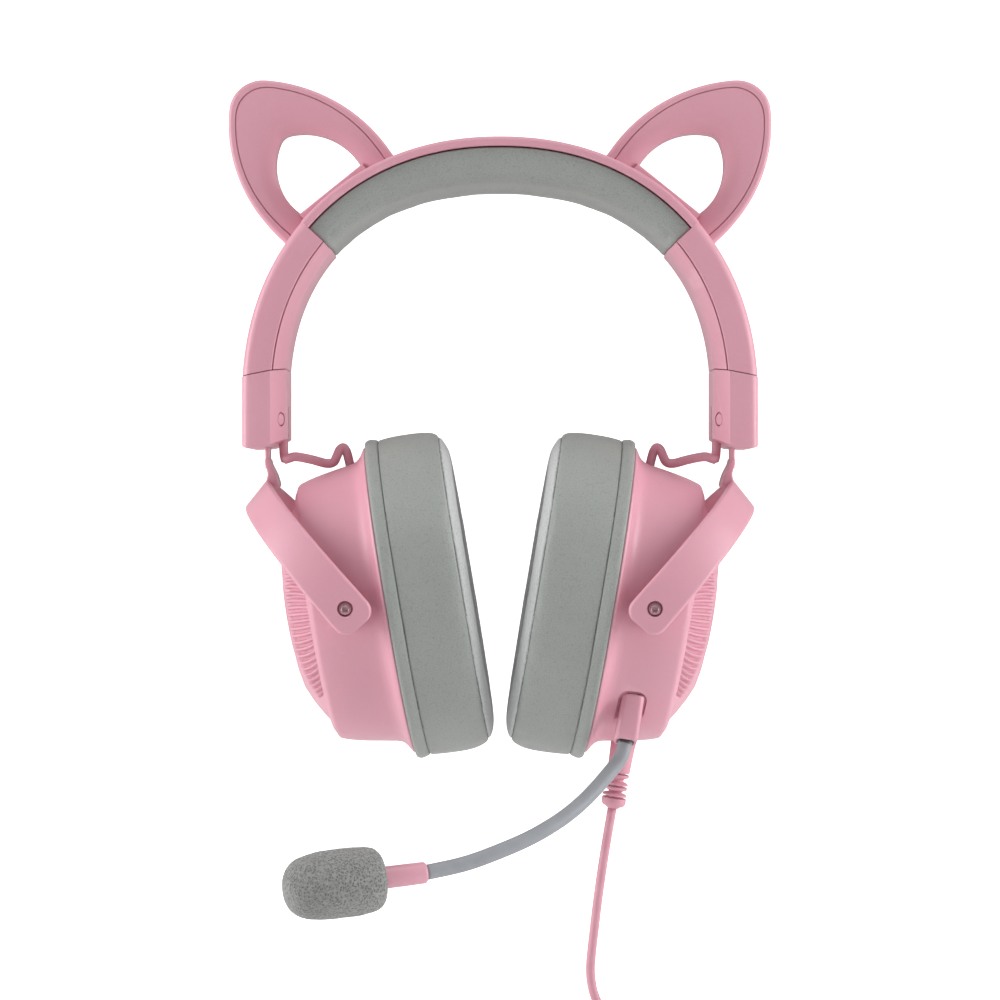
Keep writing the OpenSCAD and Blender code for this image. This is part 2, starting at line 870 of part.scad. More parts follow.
// The socket that the microphone plugs into, whose mouth is flush with the housing
module mic_socket() {
    color(deep_pink)
        at_cup(1)
            difference() {
                intersection() {
                    cup_envelope();
                    translate([plug_u - 5, plug_y - 8, -60])
                        cube([10, 13.1, 35.8]);
                }
                translate([plug_u - plug_size / 2 - 0.3, plug_y - 10, -60])
                    cube([plug_size + 0.6, 10 + plug_size / 2 + 0.3, 60 + plug_top + 0.2]);
                translate([plug_u, plug_y, -40])
                    cylinder(r = 1.8, h = 30);
            }
}

module volume_wheel() {
    color(deep_pink)
        at_cup(1)
            translate([0, wheel_y, wheel_w])
                difference() {
                    bar_x(wheel_r, -1.8, 1.8);
                    bar_x(1.5 + run_fit, -3, 3);
                    for (a = [0:15:345]) {
                        rotate([a, 0, 0])
                            translate([0, wheel_r + 0.35, 0])
                                bar_x(0.7, -3, 3);
                    }
                }
}

module mute_button() {
    color(deep_pink)
        at_cup(1)
            translate([button_u, 0, button_w])
                union() {
                    bar_y(button_r, 36.2, 39.4);
                    bar_y(button_r + 0.4, 32.1, 32.7);
                    bar_y(1.2, 32.6, 36.3);
                }
}

// ---- Microphone ----

// The plug's block with its jack pin
module mic_plug() {
    half = plug_size / 2;
    color(pink)
        at_cup(1)
            translate([plug_u, plug_y, 0])
                union() {
                    translate([0, 0, plug_bottom])
                        linear_extrude(plug_top - plug_bottom)
                            polygon(concat(
                                arc([half - 1.5, half - 1.5], 1.5, 0, 90, 4),
                                arc([-half + 1.5, half - 1.5], 1.5, 90, 180, 4),
                                arc([-half + 1.5, -half + 1.5], 1.5, 180, 270, 4),
                                arc([half - 1.5, -half + 1.5], 1.5, 270, 360, 4)
                            ));
                    translate([0, 0, plug_top])
                        cylinder(r = 1.75, h = 11);
                }
}

module mic_boom() {
    color(grey)
        loft(tube_rings(smooth(boom_route, 3), boom_d, 12));
}

// A frame at the far end of the boom, with z along the boom
boom_end = boom_route[len(boom_route) - 1];
collar_way = [-11.4, -3.6, -0.9];
collar_length = 14.9;
foam_length = 30;
module at_boom_end() {
    translate(boom_end)
        rotate([0, acos(unit(collar_way)[2]), atan2(collar_way[1], collar_way[0])])
            children();
}

module mic_collar() {
    color(pink)
        at_boom_end()
            rotate_extrude()
                polygon([[0, 0.1], [2.7, 0.1], [3.1, 0.6], [3.2, collar_length - 0.5],
                    [2.9, collar_length], [0, collar_length]]);
}

module mic_capsule() {
    color(steel)
        at_boom_end()
            translate([0, 0, collar_length + 0.1])
                cylinder(r = 4.8, h = 12);
}

// The foam windscreen, closed round the capsule
module mic_windscreen() {
    r = 10;
    foot = collar_length - 1.5;
    top = foot + foam_length;
    color(foam_grey)
        at_boom_end()
            rotate_extrude()
                polygon(concat(
                    [[3.4, foot + 0.2], [6.6, foot]],
                    arc([r - 3.4, foot + 4], 3.4, -50, 0, 4),
                    arc([r - 8, top - 9], 8, 0, 70, 8),
                    [[0, top], [0, foot + 14], [5, foot + 14], [5, foot + 1.5], [3.4, foot + 1.5]]
                ));
}

// ---- Cable ----
boot_r = 3.9;
boot_tip_r = 2.5;

// The ribbed boot that protects the cable where it leaves the left cup
module cable_boot() {
    end = boot_top - boot_length;
    groove = 1;
    color(pink)
        at_cup(1)
            translate([boot_u, 0, 0])
                rotate_extrude()
                    polygon(concat(
                        [[0, boot_top + 2.8], [2.5, boot_top + 2.8], [2.5, boot_top], [boot_r, boot_top]],
                        [[boot_r, boot_top - 3], [3.2, boot_top - 6]],
                        [for (i = [0:2]) let (z = boot_top - 8.5 - 3.9 * i, r = boot_tip_r + 0.9 - 0.15 * i)
                            each [[r, z + 1.6], [r, z], [r - groove, z - 0.2], [r - groove, z - 1.6]]],
                        [[boot_tip_r + 0.6, end + 2.6], [boot_tip_r + 0.6, end + 0.8]],
                        [[boot_tip_r, end], [0, end]]
                    ));
}

module cable() {
    color(pink) {
        loft(tube_rings(smooth(cable_route, 2), cable_d, 8));
        loft(tube_rings(tail_route, cable_d, 8));
    }
}

// The outer shape of the cable's coil
module cable_coil() {
    corner = 3;
    color(pink)
        translate(coil_at)
            rotate([90, 0, 0])
                rotate_extrude()
                    translate([coil_mid_r, 0])
                        polygon(concat(
                            arc([coil_half_r - corner, coil_half_w - corner], corner, 0, 90, 3),
                            arc([corner - coil_half_r, coil_half_w - corner], corner, 90, 180, 3),
                            arc([corner - coil_half_r, corner - coil_half_w], corner, 180, 270, 3),
                            arc([coil_half_r - corner, corner - coil_half_w], corner, 270, 360, 3)
                        ));
}

// The strap that ties the coil at its foot
module cable_tie() {
    color(deep_pink)
        translate([coil_at[0] - 3, 0, coil_at[2] - coil_mid_r])
            rotate([0, 90, 0])
                linear_extrude(6)
                    difference() {
                        square([2 * coil_half_r + 3.2, 2 * coil_half_w + 3.2], center = true);
                        square([2 * coil_half_r + 0.8, 2 * coil_half_w + 0.8], center = true);
                    }
}

usb_at = [60.8, 0, -308];
usb_grip_size = [15.6, 8.4, 22];
usb_shell_size = [12, 4.5, 13];

module usb_grip() {
    color(pink)
        translate([usb_at[0], usb_at[1], usb_at[2] - usb_grip_size[2]])
            union() {
                translate([-usb_grip_size[0] / 2, -usb_grip_size[1] / 2, 0])
                    cube([usb_grip_size[0], usb_grip_size[1], usb_grip_size[2] - 5]);
                cylinder(r = 3.4, h = usb_grip_size[2] - 0.2);
            }
}

module usb_shell() {
    bottom = usb_at[2] - usb_grip_size[2] - usb_shell_size[2];
    color(steel)
        translate([usb_at[0], usb_at[1], bottom])
            difference() {
                translate([-usb_shell_size[0] / 2, -usb_shell_size[1] / 2, 0])
                    cube(usb_shell_size);
                translate([-usb_shell_size[0] / 2 + 0.4, 0, -0.1])
                    cube([usb_shell_size[0] - 0.8, usb_shell_size[1] / 2 - 0.4, 8]);
            }
}

// A lead between an end cap and the top of its cup
module lead(side) {
    color(pink)
        on_side(side)
            loft(tube_rings(smooth(lead_route, 2), lead_d, 8));
}

headband_shell();
arm_cover(1);  // arm_cover_left
arm_cover(-1);  // arm_cover_right
head_pad();
pad_base();
spring_band();
bridge_cable();
end_cap(1);  // end_cap_left
end_cap(-1);  // end_cap_right
end_cap_plugs();
ear_screws();
ear_frame(1);  // ear_frame_left
ear_frame(-1);  // ear_frame_right
ear_cover(1);  // ear_cover_left
ear_cover(-1);  // ear_cover_right
slider_strip(1);  // slider_strip_left
slider_strip(-1);  // slider_strip_right
yoke(1);  // yoke_left
yoke(-1);  // yoke_right
cup_housing(1);  // cup_housing_left
cup_housing(-1);  // cup_housing_right
grille(1);  // grille_left
grille(-1);  // grille_right
cover_disc(1);  // cover_disc_left
cover_disc(-1);  // cover_disc_right
baffle(1);  // baffle_left
baffle(-1);  // baffle_right
driver_basket(1);  // driver_basket_left
driver_basket(-1);  // driver_basket_right
driver_magnet(1);  // driver_magnet_left
driver_magnet(-1);  // driver_magnet_right
driver_cone(1);  // driver_cone_left
driver_cone(-1);  // driver_cone_right
cushion_ring(1);  // cushion_ring_left
cushion_ring(-1);  // cushion_ring_right
cushion(1);  // cushion_left
cushion(-1);  // cushion_right
speaker_cloth(1);  // speaker_cloth_left
speaker_cloth(-1);  // speaker_cloth_right
pivot_screws(1);  // pivot_screws_left
pivot_screws(-1);  // pivot_screws_right
housing_screws(1);  // housing_screws_left
housing_screws(-1);  // housing_screws_right
circuit_board();
mic_socket();
volume_wheel();
mute_button();
mic_plug();
mic_boom();
mic_collar();
mic_capsule();
mic_windscreen();
cable_boot();
cable();
cable_coil();
cable_tie();
usb_grip();
usb_shell();
lead(1);  // lead_left
lead(-1);  // lead_right
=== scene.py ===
"""Looks of the cat-ear gaming headset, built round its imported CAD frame.

Lengths in the making functions are in millimetres and become metres when a mesh is made. side is 1 for the
wearer's left (+X) and -1 for the right.
"""

from math import asin, atan2, cos, degrees as in_degrees, exp, hypot, pi, radians, sin, sqrt, tan, tau

import bmesh
import bpy
from mathutils import Matrix, Vector, bvhtree, noise


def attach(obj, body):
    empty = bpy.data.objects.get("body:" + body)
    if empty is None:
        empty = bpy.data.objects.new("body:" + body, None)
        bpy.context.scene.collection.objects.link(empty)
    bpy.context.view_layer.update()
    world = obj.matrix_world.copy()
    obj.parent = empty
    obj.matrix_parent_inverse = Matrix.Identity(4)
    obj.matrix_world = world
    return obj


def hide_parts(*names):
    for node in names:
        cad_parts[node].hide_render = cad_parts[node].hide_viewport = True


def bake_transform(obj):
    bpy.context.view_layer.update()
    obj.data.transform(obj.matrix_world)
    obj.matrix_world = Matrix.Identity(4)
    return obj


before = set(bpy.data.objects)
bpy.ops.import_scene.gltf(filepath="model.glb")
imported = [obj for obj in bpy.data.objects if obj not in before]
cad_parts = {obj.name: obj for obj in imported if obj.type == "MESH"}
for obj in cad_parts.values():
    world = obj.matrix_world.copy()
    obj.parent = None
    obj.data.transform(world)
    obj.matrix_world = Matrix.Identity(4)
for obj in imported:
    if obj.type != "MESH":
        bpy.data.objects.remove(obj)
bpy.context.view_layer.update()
scene = bpy.context.scene
MM = 0.001
SIDES = ((1, "left"), (-1, "right"))

# ---- Sizes that the CAD part holds, in millimetres and degrees ----
BAND_Z = -67.8
BAND_OUTER = (82.2, 83.1, 2.14)
BAND_INNER = (69.0, 67.8, 2.3)
BAND_W = 38.0
INNER_FACE_W = 21.0
ARM_LIP, CROWN_LIP = 9.4, 3.0
SEAM_OUTER, SEAM_INNER = 4.9, 8.0
PAD_START = 41.5
EAR_ANGLE = 51.2
STRIP_X, STRIP_T, STRIP_W = 75.3, 1.2, 10.0
PIVOT_X, PIVOT_Z = 47.4, -133.6
YOKE_R, YOKE_T, YOKE_W, YOKE_LEAN = 47.6, 3.2, 13.2, 41.6
CUP_LEAN, CUP_MID = 9.5, -1.0
CUP_RATIO, CUSHION_RATIO, OVAL_N = 0.9, 0.88, 2.15
CUSHION_H = 52.5
CABLE_D, LEAD_D, BOOM_D = 3.0, 3.0, 4.6
COIL_AT = Vector((38, 0, -292))

# ---- Camera, at the photograph's height and distance ----
CAMERA_AWAY = 0.8
CAMERA_Z = -0.1003
HALF_VIEW = 0.1625
SENSOR = 36


def fit(thing, **settings):
    for key, value in settings.items():
        setattr(thing, key, value)
    return thing


def add_object(name, data):
    made = bpy.data.objects.new(name, data)
    scene.collection.objects.link(made)
    return made


def make_camera():
    lens = SENSOR / 2 * CAMERA_AWAY / HALF_VIEW
    data = fit(bpy.data.cameras.new("camera"), sensor_width=SENSOR, lens=lens, clip_end=50)
    camera = add_object("camera", data)
    scene.camera = fit(camera, location=(0, -CAMERA_AWAY, CAMERA_Z), rotation_euler=(pi / 2, 0, 0))


# ---- Mesh helpers ----
def mesh_from(name, points, faces, material=None):
    """A smooth-shaded mesh object from points in millimetres."""
    mesh = bpy.data.meshes.new(name)
    mesh.from_pydata([Vector(p) * MM for p in points], [], faces)
    mesh.validate()
    work = bmesh.new()
    work.from_mesh(mesh)
    bmesh.ops.recalc_face_normals(work, faces=work.faces)
    work.to_mesh(mesh)
    work.free()
    mesh.polygons.foreach_set("use_smooth", [True] * len(mesh.polygons))
    if material:
        mesh.materials.append(material)
    return add_object(name, mesh)


def grid_faces(rows, columns, wrap_rows=False, wrap_columns=True):
    """Quads over a grid of points, row after row."""
    faces = []
    for i in range(rows if wrap_rows else rows - 1):
        for k in range(columns if wrap_columns else columns - 1):
            a, b = i * columns, (i + 1) % rows * columns
            m = (k + 1) % columns
            faces.append((a + k, a + m, b + m, b + k))
    return faces


def loft(name, rings, material=None, closed=False):
    """A solid through rings of points: flat ends, or closed on itself."""
    count, sides = len(rings), len(rings[0])
    faces = grid_faces(count, sides, wrap_rows=closed)
    if not closed:
        faces.append(tuple(range(sides)))
        faces.append(tuple(range((count - 1) * sides, count * sides)))
    return mesh_from(name, [p for ring in rings for p in ring], faces, material)


def soften(piece, width, segments=3, angle=30):
    """Rounds a piece's sharp edges."""
    fit(piece.modifiers.new("bevel", "BEVEL"), width=width * MM, segments=segments, limit_method="ANGLE",
        angle_limit=radians(angle))
    return piece


def sharpen(piece, angle=35):
    """Shades smooth except over edges sharper than an angle."""
    piece.data.set_sharp_from_angle(angle=radians(angle))
    return piece


def flip_sides(mesh):
    """Mirrors a mesh between left and right."""
    mesh.transform(Matrix.Scale(-1, 4, (1, 0, 0)))
    mesh.flip_normals()


def clamp(value):
    return min(max(value, 0), 1)


def ease(share):
    """A share of the way from 0 to 1 that starts and ends softly."""
    return share * share * (3 - 2 * share)


def spread(start, end, steps):
    return [start + (end - start) * i / steps for i in range(steps + 1)]


def curve_place(a, b, c, d, t):
    """A place between b and c on a smooth curve through four points."""
    return b + 0.5 * t * ((c - a) + t * ((2 * a - 5 * b + 4 * c - d) + t * (3 * b - 3 * c + d - a)))


def box_corners(low, high, r=0):
    return [(low[0], low[1], r), (high[0], low[1], r), (high[0], high[1], r), (low[0], high[1], r)]


def rounded(corners, steps=5):
    """An outline whose corners (x, y, radius) are arcs."""
    outline = []
    for i, (x, y, radius) in enumerate(corners):
        here = Vector((x, y))
        before = Vector(corners[i - 1][:2]) - here
        after = Vector(corners[(i + 1) % len(corners)][:2]) - here
        if radius <= 0:
            outline.append((x, y))
            continue
        half = before.angle(after) / 2
        reach = min(radius / tan(half), 0.48 * before.length, 0.48 * after.length)
        real = reach * tan(half)
        middle = here + (before.normalized() + after.normalized()).normalized() * (real / sin(half))
        start = here + before.normalized() * reach - middle
        turn = start.angle_signed(here + after.normalized() * reach - middle)
        for k in range(steps + 1):
            spoke = Matrix.Rotation(-turn * k / steps, 2) @ start
            outline.append(tuple(middle + spoke))
    return outline


def blend_points(route, steps):
    """A smooth curve through the points of a route."""
    points = []
    last = len(route) - 1
    for i in range(last):
        a, b = Vector(route[max(i - 1, 0)]), Vector(route[i])
        c, d = Vector(route[i + 1]), Vector(route[min(i + 2, last)])
        points += [curve_place(a, b, c, d, k / steps) for k in range(steps)]
    return points + [Vector(route[-1])]


def running_lengths(points):
    reach = [0.0]
    for before, here in zip(points, points[1:]):
        reach.append(reach[-1] + (here - before).length)
    return reach


def resample(points, steps):
    """Even steps along a line of points."""
    reach = running_lengths(points)
    evened, k = [], 0
    for i in range(steps + 1):
        goal = reach[-1] * i / steps
        while k < len(points) - 2 and reach[k + 1] < goal:
            k += 1
        share = (goal - reach[k]) / (reach[k + 1] - reach[k])
        evened.append(points[k].lerp(points[k + 1], min(share, 1)))
    return evened


def tube(name, route, r, material, sides):
    """A round tube along a route."""
    rings = []
    side = None
    for i, point in enumerate(route):
        ahead = (route[min(i + 1, len(route) - 1)] - route[max(i - 1, 0)]).normalized()
        if side is None:
            side = ahead.cross(Vector((1, 0, 0)) if abs(ahead.y) > 0.9 else Vector((0, 1, 0)))
        side = (side - ahead * side.dot(ahead)).normalized()
        up = side.cross(ahead)
        rings.append([point + r * (cos(a) * side + sin(a) * up)
                      for a in (k * tau / sides for k in range(sides))])
    return loft(name, rings, material)


def turned(name, middle, out, profile, material=None, sides=40):
    """A round piece from [radius, height] points, about the axis that leaves middle towards out."""
    turn = Vector(out).to_track_quat("Z", "Y")
    rings = [[Vector(middle) + turn @ Vector((r * cos(a), r * sin(a), h))
              for a in (k * tau / sides for k in range(sides))] for r, h in profile]
    return loft(name, rings, material)


def round_bar(name, centre, direction, r, length, sides=40):
    return turned(name, centre, direction, [(r, 0), (r, length)], None, sides)


def prism(name, outline, start, end, axis):
    """A solid of an outline (a, b) that runs along an axis from one place to another."""
    return loft(name, [[(*p, t) if axis == "z" else (p[0], t, p[1]) for p in outline] for t in (start, end)])


def settle(piece):
    """Applies a piece's modifiers."""
    bpy.context.view_layer.update()
    done = bpy.data.meshes.new_from_object(piece.evaluated_get(bpy.context.evaluated_depsgraph_get()))
    piece.modifiers.clear()
    old, piece.data = piece.data, done
    bpy.data.meshes.remove(old)
    return piece


def carve(piece, cutter, operation="DIFFERENCE"):
    """Cuts a piece with another, or keeps what both share, and removes the cutter."""
    fit(piece.modifiers.new("carve", "BOOLEAN"), operation=operation, solver="EXACT", object=cutter)
    settle(piece)
    bpy.data.objects.remove(cutter)
    return piece


def leaning(lean, x0, z0, x, y, z, side):
    """A place in a frame whose origin is (x0, 0, z0) and whose z axis leans outwards."""
    a = radians(lean)
    return Vector((side * (x0 + x * cos(a) + z * sin(a)), y, z0 - x * sin(a) + z * cos(a)))


def at_cup(u, y, w, side=1):
    """A place in a cup's own frame: u outwards, w up along the cup, from its pivot."""
    return leaning(CUP_LEAN, PIVOT_X, PIVOT_Z, u, y, w, side)


def ride(piece, body, slot, *nodes):
    """Puts a piece on a body and hides the CAD nodes that it stands for. Its slot, which would name its look, is
    not used.
    """
    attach(piece, body)
    if nodes:
        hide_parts(*nodes)
    return piece


# ---- Cable ----
CABLE_ROUTE = [
    (36.5, 0, -200.2), (34.8, 0, -210), (33.2, 0, -220), (31.8, 0, -230), (30.6, 0, -240),
    (29.7, 0, -248), (29.4, 0, -254), (30.4, 0, -260.4), (33, 0, -265.8), (36.6, 0, -268.9),
]
TAIL_ROUTE = [(60.5, 1.5, -296), (60.5, 1.2, -300), (60.7, 0.4, -304), (60.8, 0, -308.2)]
LAYER_STEP = 3.06
OUTER_TURN_R = 18 + 1.5 * LAYER_STEP
TURN_POINTS = 36


def coil_points():
    """Two stacks of turns side by side: the first goes inwards layer by layer, the second outwards."""
    cells = [(layer, y) for layer in range(4) for y in ((-0.5, -1.5), (-1.5, -0.5))[layer % 2]]
    cells += [(layer, -y) for layer, y in reversed(cells)]
    points = []
    total = len(cells) * TURN_POINTS + TURN_POINTS // 4
    for step in range(1, total + 1):
        turn = step / TURN_POINTS
        k = min(int(turn), len(cells) - 1)
        here, after = cells[k], cells[min(k + 1, len(cells) - 1)]
        t = ease(clamp((turn - k - 0.75) / 0.25))
        layer = here[0] * (1 - t) + after[0] * t
        r = OUTER_TURN_R - LAYER_STEP * layer
        a = pi / 2 - turn * tau
        y = LAYER_STEP * (here[1] * (1 - t) + after[1] * t)
        points.append(COIL_AT + Vector((r * cos(a), y, r * sin(a))))
    return points


def make_cable():
    route = blend_points(CABLE_ROUTE, 3) + coil_points() + blend_points(TAIL_ROUTE, 3)
    cable = tube("cable_cord", route, CABLE_D / 2, pink_cord, 12)
    ride(cable, "cup_left", "pink_cord", "cable", "cable_coil")
    return cable, [p * MM for p in route], running_lengths(route)[-1] * MM


# ---- Materials ----
def linear(red, green, blue):
    """A colour given in screen values from 0 to 255, as the shader wants it."""
    def one(value):
        value /= 255
        return value / 12.92 if value <= 0.04045 else ((value + 0.055) / 1.055) ** 2.4
    return (one(red), one(green), one(blue), 1)


class Finish:
    """A procedural material whose patterns are sized in millimetres of the object's own space."""

    def __init__(self, name, colour, roughness, metallic=0.0):
        self.material = bpy.data.materials.new(name)
        self.material.use_nodes = True
        self.tree = self.material.node_tree
        self.surface = self.tree.nodes["Principled BSDF"].inputs
        self.set("Base Color", linear(*colour))
        self.set("Roughness", roughness)
        self.set("Metallic", metallic)
        self.place = self.add("ShaderNodeTexCoord", "Object")

    def add(self, kind, output, inputs=None, **settings):
        """Adds a node, gives its inputs numbers or links, and returns one of its outputs."""
        made = fit(self.tree.nodes.new(kind), **settings)
        for key, value in (inputs or {}).items():
            if isinstance(value, bpy.types.NodeSocket):
                self.link(value, made.inputs[key])
            else:
                made.inputs[key].default_value = value
        return made.outputs[output]

    def link(self, source, target):
        self.tree.links.new(source, target)

    def set(self, name, value):
        self.surface[name].default_value = value

    def noise(self, size, detail=3.0, stretch=None):
        place = self.place
        if stretch:
            place = self.add("ShaderNodeMapping", "Vector", {"Scale": stretch, "Vector": place})
        return self.add("ShaderNodeTexNoise", "Fac", {"Scale": 1 / (size * MM), "Detail": detail, "Vector": place})

    def cells(self, size, feature="F1"):
        return self.add("ShaderNodeTexVoronoi", "Distance", {"Scale": 1 / (size * MM), "Vector": self.place},
                        feature=feature)

    def remap(self, value, low, high, to_low=0.0, to_high=1.0):
        return self.add("ShaderNodeMapRange", "Result", {
            "From Min": low, "From Max": high, "To Min": to_low, "To Max": to_high, "Value": value}, clamp=True)

    def join(self, operation, first, second):
        return self.add("ShaderNodeMath", "Value", {0: first, 1: second}, operation=operation)

    def tint(self, share, colour, *limits):
        """Mixes another colour over the base by a share, which limits remap."""
        share = self.remap(share, *limits) if limits else share
        base = self.surface["Base Color"]
        under = base.links[0].from_socket if base.is_linked else base.default_value
        self.link(self.add("ShaderNodeMix", "Result", {"A": under, "B": linear(*colour), "Factor": share},
                           data_type="RGBA"), base)

    def shine(self, value, low, high, rough_low, rough_high):
        self.link(self.remap(value, low, high, rough_low, rough_high), self.surface["Roughness"])

    def bump(self, height, depth):
        """Adds relief of a depth in millimetres, over any relief already there."""
        normal = self.surface["Normal"]
        under = {"Normal": normal.links[0].from_socket} if normal.is_linked else {}
        self.link(self.add("ShaderNodeBump", "Normal", {"Distance": depth * MM, "Height": height, **under}), normal)


def moulded_plastic(name, colour, light, dark, roughness=0.42):
    """Satin moulded plastic: fine spark-eroded texture, faint flow marks and a painted highlight along the edges.
    """
    look = Finish(name, colour, roughness)
    look.tint(look.noise(38, 2), dark, 0.35, 0.7, 0, 0.35)
    look.tint(look.noise(0.35, 2), light, 0.45, 0.75, 0, 0.14)
    # Painted highlight: sharp edges are lightened by pointiness, standing in for the bright rims that light puts on
    # them.
    edges = look.remap(look.add("ShaderNodeNewGeometry", "Pointiness"), 0.52, 0.6)
    look.tint(look.join("MULTIPLY", edges, look.join("MULTIPLY", look.noise(3.0), 0.5)), light)
    look.shine(look.noise(9, 4), 0.3, 0.7, roughness - 0.05, roughness + 0.07)
    look.bump(look.noise(0.22, 3), 0.012)
    look.bump(look.noise(14, 2), 0.05)
    look.set("Coat Weight", 0.06)
    look.set("Coat Roughness", 0.35)
    return look.material


def leatherette(name, colour, light, dark):
    """Soft matt leatherette: small pebbles with creases between them."""
    look = Finish(name, colour, 0.56)
    pebbles = look.cells(0.8, "DISTANCE_TO_EDGE")
    crease = look.remap(pebbles, 0.0, 0.14)
    fine = look.noise(0.28, 3)
    look.tint(look.noise(22, 3), light, 0.35, 0.7, 0, 0.35)
    look.tint(pebbles, dark, 0.0, 0.1, 0.45, 0)
    look.shine(look.noise(6, 3), 0.3, 0.7, 0.5, 0.64)
    look.bump(look.join("ADD", look.join("MULTIPLY", crease, 0.8), fine), 0.04)
    look.bump(look.noise(7, 3), 0.1)
    look.set("Sheen Weight", 0.12)
    look.set("Sheen Roughness", 0.4)
    return look.material


def knitted_fabric(name, colour, dark, size=0.9):
    """Fine mesh cloth with small dark gaps."""
    look = Finish(name, colour, 0.85)
    gaps = look.cells(size)
    look.tint(gaps, dark, 0.05, 0.4, 0.8, 0)
    look.bump(gaps, 0.12)
    look.set("Sheen Weight", 0.3)
    return look.material


def open_foam(name, colour, light, dark):
    """Open-cell foam: small pores of two sizes with bright struts."""
    look = Finish(name, colour, 0.92)
    pores = look.cells(0.75)
    small = look.cells(0.35)
    both = look.join("MINIMUM", pores, look.join("MULTIPLY", small, 1.2))
    look.tint(both, dark, 0.1, 0.45, 0.75, 0)
    look.tint(pores, light, 0.55, 0.8, 0, 0.4)
    look.bump(look.remap(both, 0.05, 0.5), 0.3)
    look.bump(look.noise(4, 3), 0.15)
    look.set("Sheen Weight", 0.25)
    return look.material


def soft_rubber(name, colour, light, roughness=0.5):
    """Matt rubber or cable jacket, with faint lengthways marks."""
    look = Finish(name, colour, roughness)
    look.tint(look.noise(5, 3), light, 0.4, 0.75, 0, 0.3)
    look.shine(look.noise(2, 3), 0.3, 0.7, roughness - 0.06, roughness + 0.08)
    look.bump(look.noise(0.3, 2), 0.012)
    return look.material


def brushed_metal(name, colour, roughness, stretch=None):
    """Metal with fine parallel marks."""
    look = Finish(name, colour, roughness, 1.0)
    marks = look.noise(0.6, 4, stretch)
    look.shine(marks, 0.3, 0.7, roughness - 0.1, roughness + 0.12)
    look.bump(marks, 0.008)
    return look.material


def plain_board(name, colour, light):
    """Solder mask with paler tracks."""
    look = Finish(name, colour, 0.4)
    pitch = 2.2 * MM
    tracks = look.add("ShaderNodeTexWave", "Fac", {
        "Scale": tau / 20 / pitch, "Distortion": 0.6, "Detail Scale": 1 / pitch, "Vector": look.place,
    }, bands_direction="DIAGONAL")
    look.tint(tracks, light, 0.8, 0.9)
    return look.material


pink_plastic = moulded_plastic("pink_plastic", (222, 160, 176), (240, 192, 204), (214, 150, 166))
# A deeper pink for small parts; where it lines the plug's recess, its darker colour is painted shade.
deep_pink_and_recess_shade = moulded_plastic("deep_pink_plastic", (190, 126, 142), (214, 154, 168), (168, 104, 120), 0.5)
grey_leather = leatherette("grey_leatherette", (158, 162, 158), (172, 176, 172), (120, 123, 120))
pad_leather = leatherette("pad_leatherette", (158, 162, 158), (170, 174, 170), (120, 123, 120))
pale_fabric = knitted_fabric("pale_mesh_fabric", (196, 198, 198), (166, 168, 168))
speaker_mesh = knitted_fabric("speaker_mesh", (186, 188, 188), (92, 94, 94), 1.3)
grey_foam = open_foam("windscreen_foam", (148, 148, 146), (176, 176, 174), (90, 90, 90))
boom_rubber = soft_rubber("boom_sleeve", (150, 153, 158), (170, 173, 178))
pink_cord = soft_rubber("pink_cord_jacket", (216, 152, 168), (234, 180, 192), 0.46)
thread = soft_rubber("seam_thread", (118, 121, 118), (150, 153, 150), 0.7)
turned_steel = brushed_metal("turned_screw_steel", (188, 150, 158), 0.34)
spring_steel = brushed_metal("spring_steel", (170, 172, 176), 0.34, (1, 12, 1))
plated_steel = brushed_metal("plated_plug_steel", (214, 214, 216), 0.24, (1, 1, 10))
board_green = plain_board("sound_board", (26, 84, 52), (60, 128, 82))
black_plastic = moulded_plastic("black_moulded_plastic", (40, 40, 42), (70, 70, 72), (28, 28, 30))
cone_film = soft_rubber("cone_film", (170, 172, 178), (200, 202, 206), 0.3)


# ---- Headband ----
def super_r(shape, a):
    rx, rz, n = shape
    return 1 / ((abs(cos(a)) / rx) ** n + (abs(sin(a)) / rz) ** n) ** (1 / n)


def polar(shape, a):
    return Vector((cos(a), 0, sin(a))) * super_r(shape, a) + Vector((0, 0, BAND_Z))


def band_depth(degrees):
    a = radians(degrees)
    return super_r(BAND_OUTER, a) - super_r(BAND_INNER, a)


def band_point(degrees, depth, y):
    """A place on the headband: its direction, its depth under the outer face, and y."""
    skew = (SEAM_INNER - SEAM_OUTER) * max(0, 1 - (min(degrees, 180 - degrees) - SEAM_OUTER) / 25)
    outer = polar(BAND_OUTER, radians(degrees))
    inner = polar(BAND_INNER, radians(degrees + (skew if degrees < 90 else -skew)))
    return outer.lerp(inner, depth / band_depth(degrees)) + Vector((0, y, 0))


def band_rings(angles, section):
    return [[band_point(a, *p) for p in section(a)] for a in angles]


def shell_section(lip):
    w = BAND_W / 2
    return rounded([
        (0, -w, 2.9), (lip, -w, 0.4), (lip, 2 - w, 0), (2, 3 - w, 0),
        (2, w - 3, 0), (lip, w - 2, 0), (lip, w, 0.4), (0, w, 2.9),
    ], 6)


def cover_section(degrees):
    w, face, deep, lip = BAND_W / 2, INNER_FACE_W / 2, band_depth(degrees), ARM_LIP + 0.2
    back = deep - 1.8
    return rounded([
        (lip, -w + 0.05, 0.4), (deep, -face, 2.4), (deep, face, 2.4), (lip, w - 0.05, 0.4),
        (lip, w - 2.4, 0), (back, face - 0.8, 0), (back, 0.8 - face, 0), (lip, 2.4 - w, 0),
    ])


